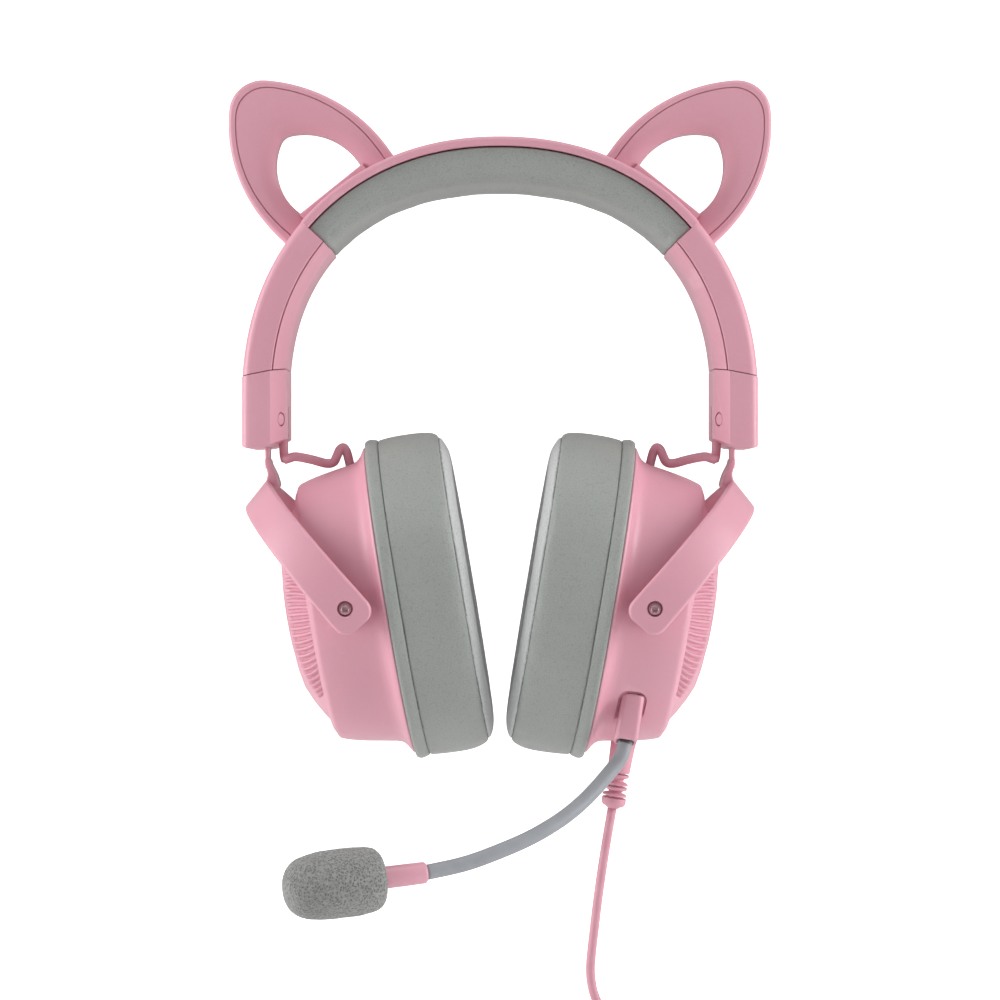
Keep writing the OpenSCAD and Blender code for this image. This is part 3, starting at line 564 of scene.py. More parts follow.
def make_headband():
    arm = spread(SEAM_OUTER, PAD_START - 0.1, 26)
    crown = spread(PAD_START, 180 - PAD_START, 76)
    angles = arm + crown + [180 - a for a in reversed(arm)]
    shell = loft("headband_outer_shell",
                 band_rings(angles, lambda a: shell_section(CROWN_LIP if a in crown else ARM_LIP)), pink_plastic)
    sharpen(soften(shell, 0.28, 2, 50))
    ride(shell, "headband", "pink_shell", "headband_shell")
    for side, name in SIDES:
        rings = [[Vector((side * p.x, p.y, p.z)) for p in ring] for ring in band_rings(arm, cover_section)]
        cover = loft(f"arm_inner_cover_{name}", rings, pink_plastic)
        sharpen(soften(cover, 0.3, 2, 50))
        ride(cover, "headband", "pink_shell", f"arm_cover_{name}")


# An end cap's section in (x, y): its outer face, its two bevels and its inner face
CAP_OUT, CAP_EDGE, CAP_IN = 82.15, 72.75, 68.65
CAP_HALF, CAP_FACE_HALF = 19.5, 10.9
CAP_TOP_GAP = 0.3
LEAD_X = 70.3
PLUG_X, PLUG_Z, PLUG_R = 69.9, -74.5, 2.3


def plug_frame(end):
    """The middle of a plug and the direction that it faces, on a bevel of the left end cap."""
    run, rise = CAP_HALF - CAP_FACE_HALF, CAP_EDGE - CAP_IN
    y = CAP_FACE_HALF + (PLUG_X - CAP_IN) / rise * run
    return Vector((PLUG_X, end * y, PLUG_Z)), Vector((-run, end * rise, 0)).normalized()


def make_end_cap(side, name):
    section = rounded([
        (CAP_OUT, CAP_HALF, 3), (CAP_EDGE, CAP_HALF, 0.6), (CAP_IN, CAP_FACE_HALF, 2.2),
        (CAP_IN, -CAP_FACE_HALF, 2.2), (CAP_EDGE, -CAP_HALF, 0.6), (CAP_OUT, -CAP_HALF, 3)], 6)
    top_out, top_in = band_point(SEAM_OUTER, -3, 0), band_point(SEAM_OUTER, band_depth(SEAM_OUTER) + 3, 0)
    outline = rounded([
        (top_in.x, top_in.z - CAP_TOP_GAP, 0), (top_out.x, top_out.z - CAP_TOP_GAP, 0),
        (83.6, -79, 0), (81.8, -83.8, 1.6), (74.4, -83.4, 3), (66, -79.3, 0),
    ])
    cap = prism(f"end_cap_body_{name}", section, -92, -48, "z")
    carve(cap, prism("cap_outline", outline, -25, 25, "y"), "INTERSECT")
    half_t, half_w = STRIP_T / 2 + 0.25, STRIP_W / 2 + 0.25
    slot = rounded(box_corners((STRIP_X - half_t, -half_w), (STRIP_X + half_t, half_w)))
    carve(cap, prism("cap_slot", slot, -95, -40, "z"))
    carve(cap, round_bar("lead_hole", (LEAD_X, 0, -95), (0, 0, 1), LEAD_D / 2 + 0.3, 25, 20))
    for end in (-1, 1):
        middle, out = plug_frame(end)
        carve(cap, round_bar("plug_hole", middle - out * 1.2, out, PLUG_R, 4))
    soften(cap, 0.35, 3, 38)
    plugs = [turned(f"cap_plug_{name}_{i}", *plug_frame(end), [
        (PLUG_R - 0.4, -1.2), (PLUG_R - 0.4, -0.2), (PLUG_R - 0.6, -0.02), (0.2, 0.04),
    ], pink_plastic) for i, end in enumerate((-1, 1))]
    cap.data.materials.append(pink_plastic)
    for piece in (cap, *plugs):
        if side < 0:
            flip_sides(piece.data)
        sharpen(piece, 30)
    ride(cap, "headband", "pink_shell", f"end_cap_{name}")
    for plug in plugs:
        ride(plug, "headband", "pink_shell", "end_cap_plugs")


# ---- Cat ears, each in its own frame: x across, z outwards from the headband's centre ----
EAR_SIDE, EAR_TIP_R = (51.0, -27.9, 91.3), 10.9
HOLE_SIDE, HOLE_TIP_R, HOLE_FLOOR = (20.3, -7.35, 91.8), 4.3, 87.3
EAR_HALF, EAR_SINK = 5.5, 1.2
BAR_HALF, BAR_END, BAR_SINK = 5.1, 13, 0.8
EAR_FOOT, EAR_LEAN = 85.0, 0.045
EAR_STEPS = 36


def at_ear(x, y, z, side):
    return leaning(90 - EAR_ANGLE, 0, BAND_Z, x, y, z, side)


def ear_seat(x):
    """Height of the headband's outer face in the ear's frame."""
    r = super_r(BAND_OUTER, radians(EAR_ANGLE) - asin(x / 84.3))
    return sqrt(r * r - x * x)


def leaf_half(side_arc, tip_r, floor, sign):
    """Half of a leaf's outline, from its foot in the headband up to its tip."""
    r, cx, cz = side_arc
    tip_z = cz + sqrt((r - tip_r) ** 2 - cx ** 2)
    join = atan2(tip_z - cz, -cx)
    foot = cx + sqrt(r * r - (floor - cz) ** 2)
    points = [Vector((sign * foot, ear_seat(sign * foot) - EAR_SINK))]
    points += [Vector((sign * (cx + r * cos(a)), cz + r * sin(a)))
               for a in spread(asin((floor - cz) / r), join, 30)]
    points += [Vector((sign * tip_r * cos(a), tip_z + tip_r * sin(a)))
               for a in spread(join, pi / 2, 12)][1:]
    return resample(points, EAR_STEPS)


def ear_section(width):
    """From the outer edge at 0 to the hole: a rim, a parting groove, a flat face and a soft bevel."""
    h = EAR_HALF
    bevel = min(6.0, width - 4.2)
    section = [(1.6 - 1.6 * cos(a), 1.6 - h - 1.6 * sin(a)) for a in spread(0, pi / 2, 5)]
    section += [(2.75, -h), (2.88, 0.6 - h), (3.12, 0.6 - h), (3.25, 0.02 - h)]
    section += [(width - bevel * (1 - t), 0.02 - h + 2.2 * t ** 1.8) for t in spread(0, 1, 8)]
    section += [(width + 0.02, 2.8 - h), (width, h - 1.4), (width - 0.4, h - 0.4), (width - 1.4, h)]
    section += [(1.6 - 1.6 * cos(a), h - 1.6 + 1.6 * sin(a)) for a in spread(pi / 2, 0, 5)]
    return section


def make_ear(side, name):
    paths = []
    for shape in ((EAR_SIDE, EAR_TIP_R, 84.0), (HOLE_SIDE, HOLE_TIP_R, HOLE_FLOOR)):
        right, left = (leaf_half(*shape, sign) for sign in (1, -1))
        paths.append([Vector((p.x + EAR_LEAN * (p.y - EAR_FOOT), p.y)) for p in right + left[-2::-1]])
    rings = []
    for outer, hole in zip(*paths):
        way = hole - outer
        places = [(outer + way * (s / way.length), y) for s, y in ear_section(way.length)]
        rings.append([at_ear(p.x, y, p.y, side) for p, y in places])
    ear = sharpen(loft(f"cat_ear_{name}", rings, pink_plastic), 32)
    ride(ear, "headband", "pink_shell", f"ear_frame_{name}", f"ear_cover_{name}")
    rings = []
    for x in spread(-BAR_END, BAR_END, 8):
        low = ear_seat(x) - BAR_SINK
        section = rounded([(-BAR_HALF, low, 0.6), (BAR_HALF, low, 0.6),
                           (BAR_HALF, HOLE_FLOOR, 0.7), (-BAR_HALF, HOLE_FLOOR, 0.7)], 4)
        rings.append([at_ear(x, y, z, side) for y, z in section])
    bar = sharpen(loft(f"ear_base_bar_{name}", rings, pink_plastic), 32)
    ride(bar, "headband", "pink_shell")


# ---- Sliders and yokes ----
NECK_OUTLINE = [
    (75.95, -86.9, 0.5), (75.9, -89, 4), (74.9, -91.8, 5), (75.4, -94, 1), (77.2, -96.6, 0), (74.2, -98, 0),
    (71.4, -95.6, 1.2), (72.4, -92, 8), (74.1, -88.6, 3), (74.5, -86.9, 0.5),
]
FOOT, FOOT_CORNER = 7.2, 4.2
YOKE_TILT = 10
SCREW_R = 2.25


def at_yoke(x, y, z, side):
    return leaning(YOKE_LEAN, PIVOT_X, PIVOT_Z, x, y, z, side)


def yoke_section(half_w):
    """Places [distance from the ring's middle, place across its width]."""
    out, inside = YOKE_R, YOKE_R - YOKE_T
    return rounded([(out, -half_w, 1.1), (out, half_w, 1.1), (inside, half_w, 0.5), (inside, -half_w, 0.5)], 4)


def yoke_width(drop):
    """Half width of the yoke's foot at a distance below its pivot: its corners are round."""
    past = max(0, drop - (FOOT - FOOT_CORNER))
    return YOKE_W / 2 - FOOT_CORNER + sqrt(max(FOOT_CORNER ** 2 - past ** 2, 0))


def make_yoke(side, name):
    drops = [FOOT - 0.02] + [FOOT - FOOT_CORNER + FOOT_CORNER * sin(a) for a in spread(1.35, 0, 6)] + [2]
    rings = [[at_yoke(b, -r, -d, side) for r, b in yoke_section(yoke_width(d))] for d in drops]
    for turn in spread(-90, 90, 60):
        a = radians(turn)
        tilt = radians(YOKE_TILT) * cos(a) ** 2
        places = [(r - b * sin(tilt), b * cos(tilt))
                  for r, b in yoke_section(YOKE_W / 2 - 0.6 * cos(a))]
        rings.append([at_yoke(b, r * sin(a), r * cos(a), side) for r, b in places])
    rings += [[at_yoke(b, r, -d, side) for r, b in yoke_section(yoke_width(d))] for d in reversed(drops)]
    arm = loft(f"yoke_arm_{name}", rings, pink_plastic)
    for end in (-1, 1):
        middle = at_yoke(0, end * (YOKE_R - 1.3), 0, side)
        carve(arm, round_bar("screw_recess", middle, (0, end, 0), SCREW_R + 0.2, 5))
    sharpen(soften(arm, 0.3, 2, 50), 32)
    ride(arm, f"yoke_{name}", "pink_shell", f"yoke_{name}")
    outline = [(side * x, z) for x, z in rounded(NECK_OUTLINE, 5)]
    neck = prism(f"yoke_neck_{name}", outline, -1, 1, "y")
    for corner in neck.data.vertices:
        corner.co.y *= 6.1 + 0.7 * ease(clamp((-88 - corner.co.z / MM) / 9))
    neck.data.materials.append(pink_plastic)
    sharpen(soften(neck, 0.7, 3, 50), 40)
    ride(neck, f"yoke_{name}", "pink_shell")


def make_slider(side, name):
    t, w = STRIP_T / 2, STRIP_W / 2
    section = rounded(box_corners((-t, -w), (t, w), 0.6), 4)
    rings = [[Vector((side * (STRIP_X + x), y, z)) for x, y in section] for z in (-46, -60, -74, -90)]
    strip = loft(f"slider_bar_{name}", rings, pink_plastic)
    for z in range(-82, -52, 4):
        carve(strip, round_bar("detent", (side * (STRIP_X - t - 0.05), 0, z), (side, 0, 0), 0.9, 0.35, 20))
    sharpen(strip)
    ride(strip, f"yoke_{name}", "pink_shell", f"slider_strip_{name}")


def make_pivot_screws(side, name):
    for end, place in ((-1, "front"), (1, "back")):
        out = (0, end, 0)
        base = Vector((side * PIVOT_X, end * (YOKE_R - 3.2), PIVOT_Z))
        screw = turned(f"pivot_screw_{name}_{place}", base, out, [
            (1.9, -1), (1.9, 1.7), (SCREW_R - 0.1, 1.75), (SCREW_R - 0.1, 2.35), (SCREW_R - 0.45, 2.75),
            (1.25, 2.85), (1.1, 2.7), (1.05, 2.3), (0.9, 2.2), (0.3, 2.15),
        ], turned_steel)
        key = [Vector((cos(k * tau / 12), sin(k * tau / 12))) * (0.75 if k % 2 else 0.5)
               for k in range(12)]
        reach = sorted((base.y + end * 1.6, base.y + end * 4))
        carve(screw, prism("drive", [(base.x + p.x, base.z + p.y) for p in key], *reach, "y"))
        sharpen(soften(screw, 0.08, 2, 40), 32)
        ride(screw, f"cup_{name}", "screw_steel", f"pivot_screws_{name}")


# ---- Ear cups ----
HOUSING = [
    (-12.3, 49.3), (-12.25, 49.8), (-11.9, 50), (-11.4, 49.8), (-10.9, 49), (-10.2, 47.8), (-9.3, 46.7),
    (-8.2, 45.95), (-6.6, 45.45), (-3.4, 44.9), (-0.2, 44.35), (2.6, 43.85), (5.3, 43.3), (7.9, 42.65),
    (10.1, 41.95), (10.8, 41.65), (11.3, 41.2), (12, 39.7), (12.35, 39.1), (12.4, 38.7), (12.2, 38.3),
    (11, 38.1), (10.6, 38),
]
OVAL_SIDES = 144
GRILLE = [
    (10.7, 37.8), (11.2, 37.75), (11.8, 37.45), (13.2, 35.6), (15, 32.9), (17.5, 28.6), (19.5, 24.3), (20.4, 20.2),
    (20.6, 17), (20.65, 15.4),
]
SLOT_HALF_FAN, SLOT_PITCH, SLOT_DEPTH, SLOT_OUTER_R = 46, 3.3, 1.3, 37.1
LEAD_U = -6.3


def oval_point(u, h, b, degrees, side):
    """A place on an oval across a cup, from its half height and half width."""
    a = radians(degrees)
    r = super_r((b, h, OVAL_N), a)
    return at_cup(u, r * cos(a), CUP_MID + r * sin(a), side)


def cup_ring(u, h, side, sides=OVAL_SIDES, b=None):
    """An oval of points across a cup, with the cup's own ratio unless its half width is given."""
    return [oval_point(u, h, h * CUP_RATIO if b is None else b, k * 360 / sides, side) for k in range(sides)]


def cup_block(name, u, y, w, radius):
    """A block in the left cup with rounded corners across (u, w), from (low, high) pairs."""
    outline = rounded(box_corners((u[0], w[0]), (u[1], w[1]), radius), 8)
    return loft(name, [[at_cup(a, t, b) for a, b in outline] for t in y])


def make_housing(side, name):
    inside = [(u, h - 2.2) for u, h in reversed(HOUSING[2:-8:2])]
    rings = [cup_ring(u, h, side) for u, h in HOUSING + [(10.2, 36)] + inside]
    housing = loft(f"cup_shell_{name}", rings, pink_plastic, closed=True)
    for end in (-1, 1):
        boss = round_bar("boss", (side * PIVOT_X, end * 37, PIVOT_Z), (0, end, 0), 6, 6.8, 48)
        carve(housing, boss, "UNION")
    start = at_cup(LEAD_U, 0, 38, side)
    carve(housing, round_bar("lead_hole", start, at_cup(LEAD_U, 0, 39, side) - start, 2.5, 9, 24))
    if side > 0:
        carve(housing, cup_block("plug_recess", (-5.6, 3.4), (-50, -26.4), (-60, -26.9), 3.1))
        carve(housing, cup_block("wheel_slot", (-2.3, 2.3), (25, 46), (-31.4, -15.6), 1.2))
        carve(housing, round_bar("button_hole", at_cup(6, 30, -16), (0, 1, 0), 3.15, 15, 32))
    sharpen(soften(housing, 0.35, 2, 50), 38)
    ride(housing, f"cup_{name}", "pink_shell", f"cup_housing_{name}")


def slot_share(r, degrees):
    """How deep the grille is cut at a place: 1 in a slot, 0 between the slots."""
    for turn in (0, 180):
        away = (degrees - turn + 180) % 360 - 180
        start = away / (1 + 0.9 * (37 - r) / 15)
        if abs(start) > SLOT_HALF_FAN + 1 or r > SLOT_OUTER_R:
            continue
        nearest = round(start / SLOT_PITCH) * SLOT_PITCH
        inner_end = 22 + 12 * (abs(nearest) / SLOT_HALF_FAN) ** 1.5
        across = abs(start - nearest) / (SLOT_PITCH * 0.27)
        if abs(nearest) <= SLOT_HALF_FAN:
            fade = clamp((r - inner_end) / 0.8) * clamp((SLOT_OUTER_R + 0.1 - r) / 0.5)
            return fade * clamp((1.25 - across) / 0.5)
    return 0


def make_grille(side, name):
    """The dome: its slots are blind grooves, cut as a height field over a fine polar mesh."""
    line = resample([Vector(p) for p in GRILLE], 64)
    sides = 1080
    rings = [[oval_point(p.x - SLOT_DEPTH * slot_share(p.y, a), p.y, p.y * CUP_RATIO, a, side)
              for a in (k * 360 / sides for k in range(sides))] for p in line]
    rings.append(cup_ring(18.7, 15.2, side, sides))
    grille = sharpen(loft(f"grille_dome_{name}", rings, pink_plastic, closed=True), 40)
    ride(grille, f"cup_{name}", "pink_shell", f"grille_{name}")
    middle = at_cup(18.8, 0, CUP_MID, side)
    disc = turned(f"cover_disc_body_{name}", middle, at_cup(19.8, 0, CUP_MID, side) - middle, [
        (14.9, 0), (14.9, 1.7), (14.75, 2.1), (14.4, 2.3), (13.9, 2.35), (12, 2.3), (8, 2.25), (0.3, 2.2),
    ], pink_plastic, 96)
    ride(sharpen(disc), f"cup_{name}", "pink_shell", f"cover_disc_{name}")


# CAD nodes that keep their shape: a * stands for left and right
KEPT = (
    (deep_pink_and_recess_shade, "deep_pink_plastic", "pad_base volume_wheel mute_button cable_tie baffle_* cushion_ring_*"),
    (turned_steel, "screw_steel", "ear_screws housing_screws_*"),
    (plated_steel, "screw_steel", "mic_capsule driver_magnet_*"),
    (plated_steel, "plug_steel", "usb_shell"),
    (black_plastic, "basket_plastic", "driver_basket_*"),
    (cone_film, "cone_film", "driver_cone_*"),
    (speaker_mesh, "light_fabric", "speaker_cloth_*"),
    (spring_steel, "spring_steel", "spring_band"),
    (pink_cord, "pink_cord", "bridge_cable usb_grip"),
    (board_green, "board", "circuit_board"),
)


def finish_kept_nodes():
    for material, slot, names in KEPT:
        for node in dict.fromkeys(name.replace("*", end) for name in names.split() for _, end in SIDES):
            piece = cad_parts[node]
            piece.data.materials.clear()
            piece.data.materials.append(material)


# ---- Soft parts ----
# Outline of a cushion's section: [depth u, inset of its half height, inset of its half width]
CUSHION = [
    (-12.4, 0.8, 0.8), (-13.6, 0.3, 0.25), (-16.6, 0.4, 0.35), (-20.5, 0.2, 0.2), (-26, 0, 0), (-31, 0.2, 0.2),
    (-34.3, 0.7, 0.7), (-36.2, 1.7, 1.6), (-37.8, 4, 3.7), (-38.9, 7.4, 6.8), (-39.3, 11, 10.4), (-38.9, 15, 15.6),
    (-37.5, 18.4, 20.2), (-34.9, 20.8, 22.6), (-30.5, 21.9, 23.6), (-22, 21.9, 23.6), (-14.4, 21.9, 23.6),
]
SKIRT_SEAM, FACE_SEAM = -16.6, -36.0
CUSHION_MIDDLE = (-26, 11)
SEAM_HALF = 0.14
CLOTH_FRAMES = 20


def section_point(share, inset):
    """A place round a cushion's section, on a smooth curve through its outline, pushed in by an inset."""
    last = len(CUSHION) - 1
    k = min(int(share * last), last - 1)
    corners = (Vector(CUSHION[min(max(k + i, 0), last)]) for i in (-1, 0, 1, 2))
    u, high, wide = curve_place(*corners, share * last - k)
    place = Vector((u, high))
    out = (place - Vector(CUSHION_MIDDLE)).normalized()
    u, high = place - inset * out
    return u, CUSHION_H - high, CUSHION_H * CUSHION_RATIO - wide + inset * out.y


def seam_share(u):
    """How far round a cushion's section its outside reaches a depth."""
    share = 0.0
    while section_point(share, 0)[0] > u:
        share += 0.001
    return share


def make_cushion_body(name, slack=0.0, sides=180, around=90):
    """The left cushion's foam and cover, fine at its seams, or slack and small so that it can swell."""
    shares = spread(0, 1, around)
    for seam in (SKIRT_SEAM, FACE_SEAM):
        shares += [seam_share(seam) + 0.004 * k for k in range(-5, 6)]
    rings = []
    for share in sorted(shares):
        u, h, b = section_point(share, slack * min(share * 12, 1, (1 - share) * 6))
        rings.append(cup_ring(u, h, 1, sides, b))
    rings.append(cup_ring(CUSHION[-1][0] + 0.2, 31.5, 1, sides, 24))
    rings.append(cup_ring(CUSHION[0][0] - 0.6, 47, 1, sides, 41.5))
    return loft(name, rings, grey_leather, closed=True)


def puff(piece, held, limit, voxel=4.2):
    """Swells a padded piece as cloth, by no more than a limit. held(place) is how firmly a place is kept."""
    fit(piece.modifiers.new("remesh", "REMESH"), mode="VOXEL", voxel_size=voxel * MM, use_smooth_shade=True)
    settle(piece)
    start = [vertex.co.copy() for vertex in piece.data.vertices]
    group = piece.vertex_groups.new(name="held")
    for vertex in piece.data.vertices:
        group.add([vertex.index], held(vertex.co / MM), "REPLACE")
    cloth = piece.modifiers.new("cloth", "CLOTH")
    cloth.point_cache.frame_end = CLOTH_FRAMES
    fit(cloth.settings, quality=8, mass=0.2, tension_stiffness=12, compression_stiffness=12, bending_stiffness=0.4,
        use_pressure=True, uniform_pressure_force=3.2, vertex_group_mass="held")
    cloth.settings.effector_weights.gravity = 0
    for step in range(1, CLOTH_FRAMES + 1):
        scene.frame_set(step)
    settle(piece)
    piece.vertex_groups.clear()
    for vertex, before in zip(piece.data.vertices, start):
        moved = vertex.co - before
        if moved.length > limit * MM:
            vertex.co = before + moved.normalized() * limit * MM
    scene.frame_set(1)
    return piece


def follow(piece, swollen, held):
    """Lays a fine piece on the surface that its slack copy swelled to, and removes the copy."""
    fit(swollen.modifiers.new("subdivision", "SUBSURF"), levels=1, render_levels=1)
    settle(swollen)
    shape = bvhtree.BVHTree.FromPolygons([v.co for v in swollen.data.vertices],
                                         [list(face.vertices) for face in swollen.data.polygons])
    for vertex in piece.data.vertices:
        vertex.co = vertex.co.lerp(shape.find_nearest(vertex.co)[0], 0.7 * (1 - held(vertex.co / MM)))
    bpy.data.objects.remove(swollen)
    return piece


def cup_place(point):
    """A place in millimetres, in the left cup's own frame: (u, y, w)."""
    lean = radians(CUP_LEAN)
    x, z = point.x - PIVOT_X, point.z - PIVOT_Z
    return x * cos(lean) - z * sin(lean), point.y, x * sin(lean) + z * cos(lean)


def dent_seams(piece):
    """Draws the cover in at its two seams, and puts shallow puckers beside them."""
    for vertex in piece.data.vertices:
        u, y, w = cup_place(vertex.co / MM)
        out = Vector((y / CUSHION_RATIO, w - CUP_MID))
        if out.length < 40:
            continue
        degrees = in_degrees(atan2(out.y, out.x))
        pull = 0.0
        for seam in (SKIRT_SEAM, FACE_SEAM):
            pull += 0.55 * exp(-((u - seam) / 0.3) ** 2) + 0.1 * exp(-((u - seam) / 1.4) ** 2)
            pull += 0.2 * noise.noise(Vector((degrees * 0.35, seam, 0.3))) * exp(-((u - seam) / 3.2) ** 2)
        pull += 0.3 * noise.noise(Vector((degrees * 0.045, u * 0.05, 1.7))) * clamp((-14 - u) / 3)
        inwards = at_cup(0, 0, 0) - at_cup(0, out.x, out.y)
        vertex.co += inwards.normalized() * pull * MM
    return piece


def make_cushions():
    def held(place):
        return clamp((cup_place(place)[0] + 17.5) / 3)

    body = make_cushion_body("cushion_body_left")
    follow(body, puff(make_cushion_body("cushion_slack", 0.5, 120, 60), held, 2.6), held)
    dent_seams(body)
    for material in (thread, pale_fabric):
        body.data.materials.append(material)
    for face in body.data.polygons:
        u = cup_place(face.center / MM)[0]
        in_seam = min(abs(u - SKIRT_SEAM), abs(u - FACE_SEAM)) < SEAM_HALF
        face.material_index = 1 if in_seam else 2 if u < FACE_SEAM - 0.2 else 0
    other = add_object("cushion_body_right", body.data.copy())
    flip_sides(other.data)
    for cushion, name in ((body, "left"), (other, "right")):
        ride(cushion, f"cup_{name}", "grey_leatherette", f"cushion_{name}")


def make_head_pad():
    """The pad under the crown: a flat front, a soft corner and a crowned underside."""
    def pad(name, steps, sides):
        angles = spread(PAD_START, 180 - PAD_START, steps)
        rings = []
        for a in angles:
            deep = band_depth(a)
            tuck = 0.7 * exp(-min(a - angles[0], angles[-1] - a) / 0.5)
            rings.append([band_point(a, *p) for p in rounded([
                (3.4, -17.7, 0.5), (deep - 0.5 - tuck, -18.1 + tuck, 4.6), (deep - 0.1 - tuck, 0, 30),
                (deep - 0.5 - tuck, 18.1 - tuck, 4.6), (3.4, 17.7, 0.5)], sides)])
        return loft(name, rings, pad_leather)

    def held(place):
        reach = hypot(place.x, place.z - BAND_Z)
        steep = in_degrees(atan2(place.z - BAND_Z, abs(place.x)))
        return max(clamp((reach - 75) / 2), clamp((PAD_START + 2 - steep) / 2))

    body = pad("head_pad_cover", 150, 12)
    follow(body, puff(pad("pad_slack", 110, 9), held, 1.2, voxel=3.6), held)
    ride(body, "headband", "grey_leatherette", "head_pad")


# ---- Microphone ----
BOOM_ROUTE = [
    (39.2, -30, -176.2), (38, -31.5, -180), (35.6, -33, -183.4), (29.1, -38, -190.2), (23.2, -43, -195.1),
    (16.5, -48, -199.3), (7.8, -53.5, -203.4), (-3.8, -59.5, -207.4), (-12, -63, -209.6), (-22, -67, -211.2),
]
COLLAR_WAY = Vector((-11.4, -3.6, -0.9)).normalized()
COLLAR_LENGTH = 14.9
PLUG_U, PLUG_Y = -1.1, -30.0


def make_plug():
    """A block that tapers towards the boom, with rounded corners and a sloping mouth round the boom."""
    rings = []
    for w, half, shift, corner in (
            (-27.9, 3.2, 0, 2.2), (-28.2, 3.42, 0, 2.0), (-28.9, 3.5, 0, 1.8), (-36, 3.52, -0.05, 1.6),
            (-41.5, 3.6, -0.1, 1.6), (-42.8, 3.55, -0.1, 1.7), (-43.2, 3.3, -0.1, 1.8), (-43.2, 2.7, -0.1, 1.6),
            (-41.2, 2.6, -0.1, 1.6)):
        outline = rounded(box_corners((-half, -half), (half, half), corner), 6)
        slope = 0.42 if w < -41 else 0
        rings.append([at_cup(PLUG_U + a, PLUG_Y + b + shift, w - slope * b) for a, b in outline])
    plug = sharpen(loft("mic_plug_block", rings, pink_plastic), 40)
    ride(plug, "mic", "pink_shell", "mic_plug")
    base = at_cup(PLUG_U, PLUG_Y, -28.1)
    jack = turned("mic_jack", base, at_cup(PLUG_U, PLUG_Y, -27.1) - base, [
        (1.75, 0), (1.75, 4.2), (1.55, 4.3), (1.55, 4.6), (1.75, 4.7), (1.75, 7.2), (1.55, 7.3), (1.55, 7.6),
        (1.75, 7.7), (1.75, 9.2), (1.2, 9.7), (1.5, 10.3), (0.9, 11), (0.1, 11.1),
    ], plated_steel, 32)
    ride(sharpen(jack, 30), "mic", "plug_steel")


def make_recess():
    """The collar that frames the plug where it enters the cup, lining its recess; its deeper pink is painted shade.
    """
    low, high, wall = -5.5, 3.3, 0.75
    outline = rounded([(low, -60, 0), (high, -60, 0), (high, -27, 3), (low, -27, 3)], 8)
    left, right = low + wall, high - wall
    hole = rounded([(left, -62, 0), (right, -62, 0), (right, -27.7, 2.4), (left, -27.7, 2.4)], 8)
    # Painted shade: the lining is made in the deeper pink so that the recess walls round the plug look shaded.
    back = loft("plug_recess_shade_lining", [[at_cup(u, y, w) for u, w in outline] for y in (-40, -24.9)], deep_pink_and_recess_shade)
    carve(back, loft("plug_way", [[at_cup(u, y, w) for u, w in hole] for y in (-60, -26.2)]))
    keep = loft("cup_keep", [cup_ring(u, h - 0.7, 1, 72) for u, h in HOUSING[4:-8:2]])
    carve(back, keep, "INTERSECT")
    sharpen(back, 35)
    ride(back, "cup_left", "deep_pink_plastic", "mic_socket")


def make_boom():
    route = blend_points(BOOM_ROUTE, 8)
    route.insert(0, route[0] + Vector((0.25, 0.1, 1.2)))
    boom = tube("mic_boom_sleeve", route, BOOM_D / 2, boom_rubber, 28)
    ride(boom, "mic", "boom_rubber", "mic_boom")
    end = Vector(BOOM_ROUTE[-1])
    collar = turned("mic_collar_ring", end, COLLAR_WAY, [
        (2.35, 0), (2.85, 0.1), (3.12, 0.4), (3.22, 0.9), (3.28, 6), (3.3, COLLAR_LENGTH - 0.6),
        (3.1, COLLAR_LENGTH), (0.4, COLLAR_LENGTH),
    ], pink_plastic)
    ride(sharpen(collar, 40), "mic", "pink_shell", "mic_collar")


def make_windscreen():
    """The foam ball: a soft egg, blunt at the collar, with a slightly uneven skin."""
    start = COLLAR_LENGTH - 1.5
    profile = [(3.5, 1.2), (3.6, 0.3), (4.6, 0), (6.2, 0.1), (7.6, 0.7), (8.8, 1.9), (9.5, 3.6), (9.9, 6.2),
               (10.1, 9.5), (10.1, 14), (10, 18.2), (9.5, 22), (8.7, 25.1), (7.2, 27.5), (5.2, 29.1), (2.8, 29.9),
               (0.2, 30)]
    line = resample(blend_points([(r, 0, start + h) for r, h in profile], 5), 90)
    end = Vector(BOOM_ROUTE[-1])
    foam = turned("mic_foam", end, COLLAR_WAY, [(max(p.x, 0.02), p.z) for p in line], grey_foam, 96)
    for vertex in foam.data.vertices:
        place = vertex.co / MM
        axis = end + COLLAR_WAY * (place - end).dot(COLLAR_WAY)
        out = place - axis
        if out.length > 4:
            swell = 0.16 * noise.noise(place * 0.16) + 0.1 * noise.noise(place * 0.7)
            vertex.co += out.normalized() * swell * MM
    ride(foam, "mic", "windscreen_foam", "mic_windscreen")


# ---- Cable boot ----
def make_boot():
    ribs = [(2.4, -43), (2.5, -45.55), (4.0, -45.6), (4.1, -46.1), (3.95, -48.6), (3.78, -52.8), (3.7, -55.7),
            (3.6, -55.8), (2.3, -55.85), (2.3, -56.4), (3.6, -56.45), (3.7, -56.8), (3.6, -57.3), (2.5, -57.7),
            (2.1, -58.2), (2.2, -58.7), (3.3, -59.1), (3.75, -59.4), (3.75, -59.8), (3.65, -59.9), (2.3, -59.95),
            (2.3, -60.5), (3.65, -60.55), (3.75, -60.9), (3.5, -61.4), (2.5, -61.8), (2.1, -62.1), (2.3, -62.4),
            (3.5, -62.7), (3.9, -63.05), (3.95, -63.45), (3.85, -63.55), (2.3, -63.6), (2.3, -64.15), (3.85, -64.2),
            (3.95, -64.4), (3.95, -65.3), (3.8, -66.2), (3.35, -66.8), (2.4, -67.1), (1.9, -67.6), (1.5, -67.6)]
    middle = at_cup(0.3, 0, 0)
    boot = turned("cable_boot_ribs", middle, middle - at_cup(0.3, 0, 1), [(r, -w) for r, w in ribs], pink_cord)
    ride(sharpen(boot, 38), "cup_left", "pink_cord", "cable_boot")


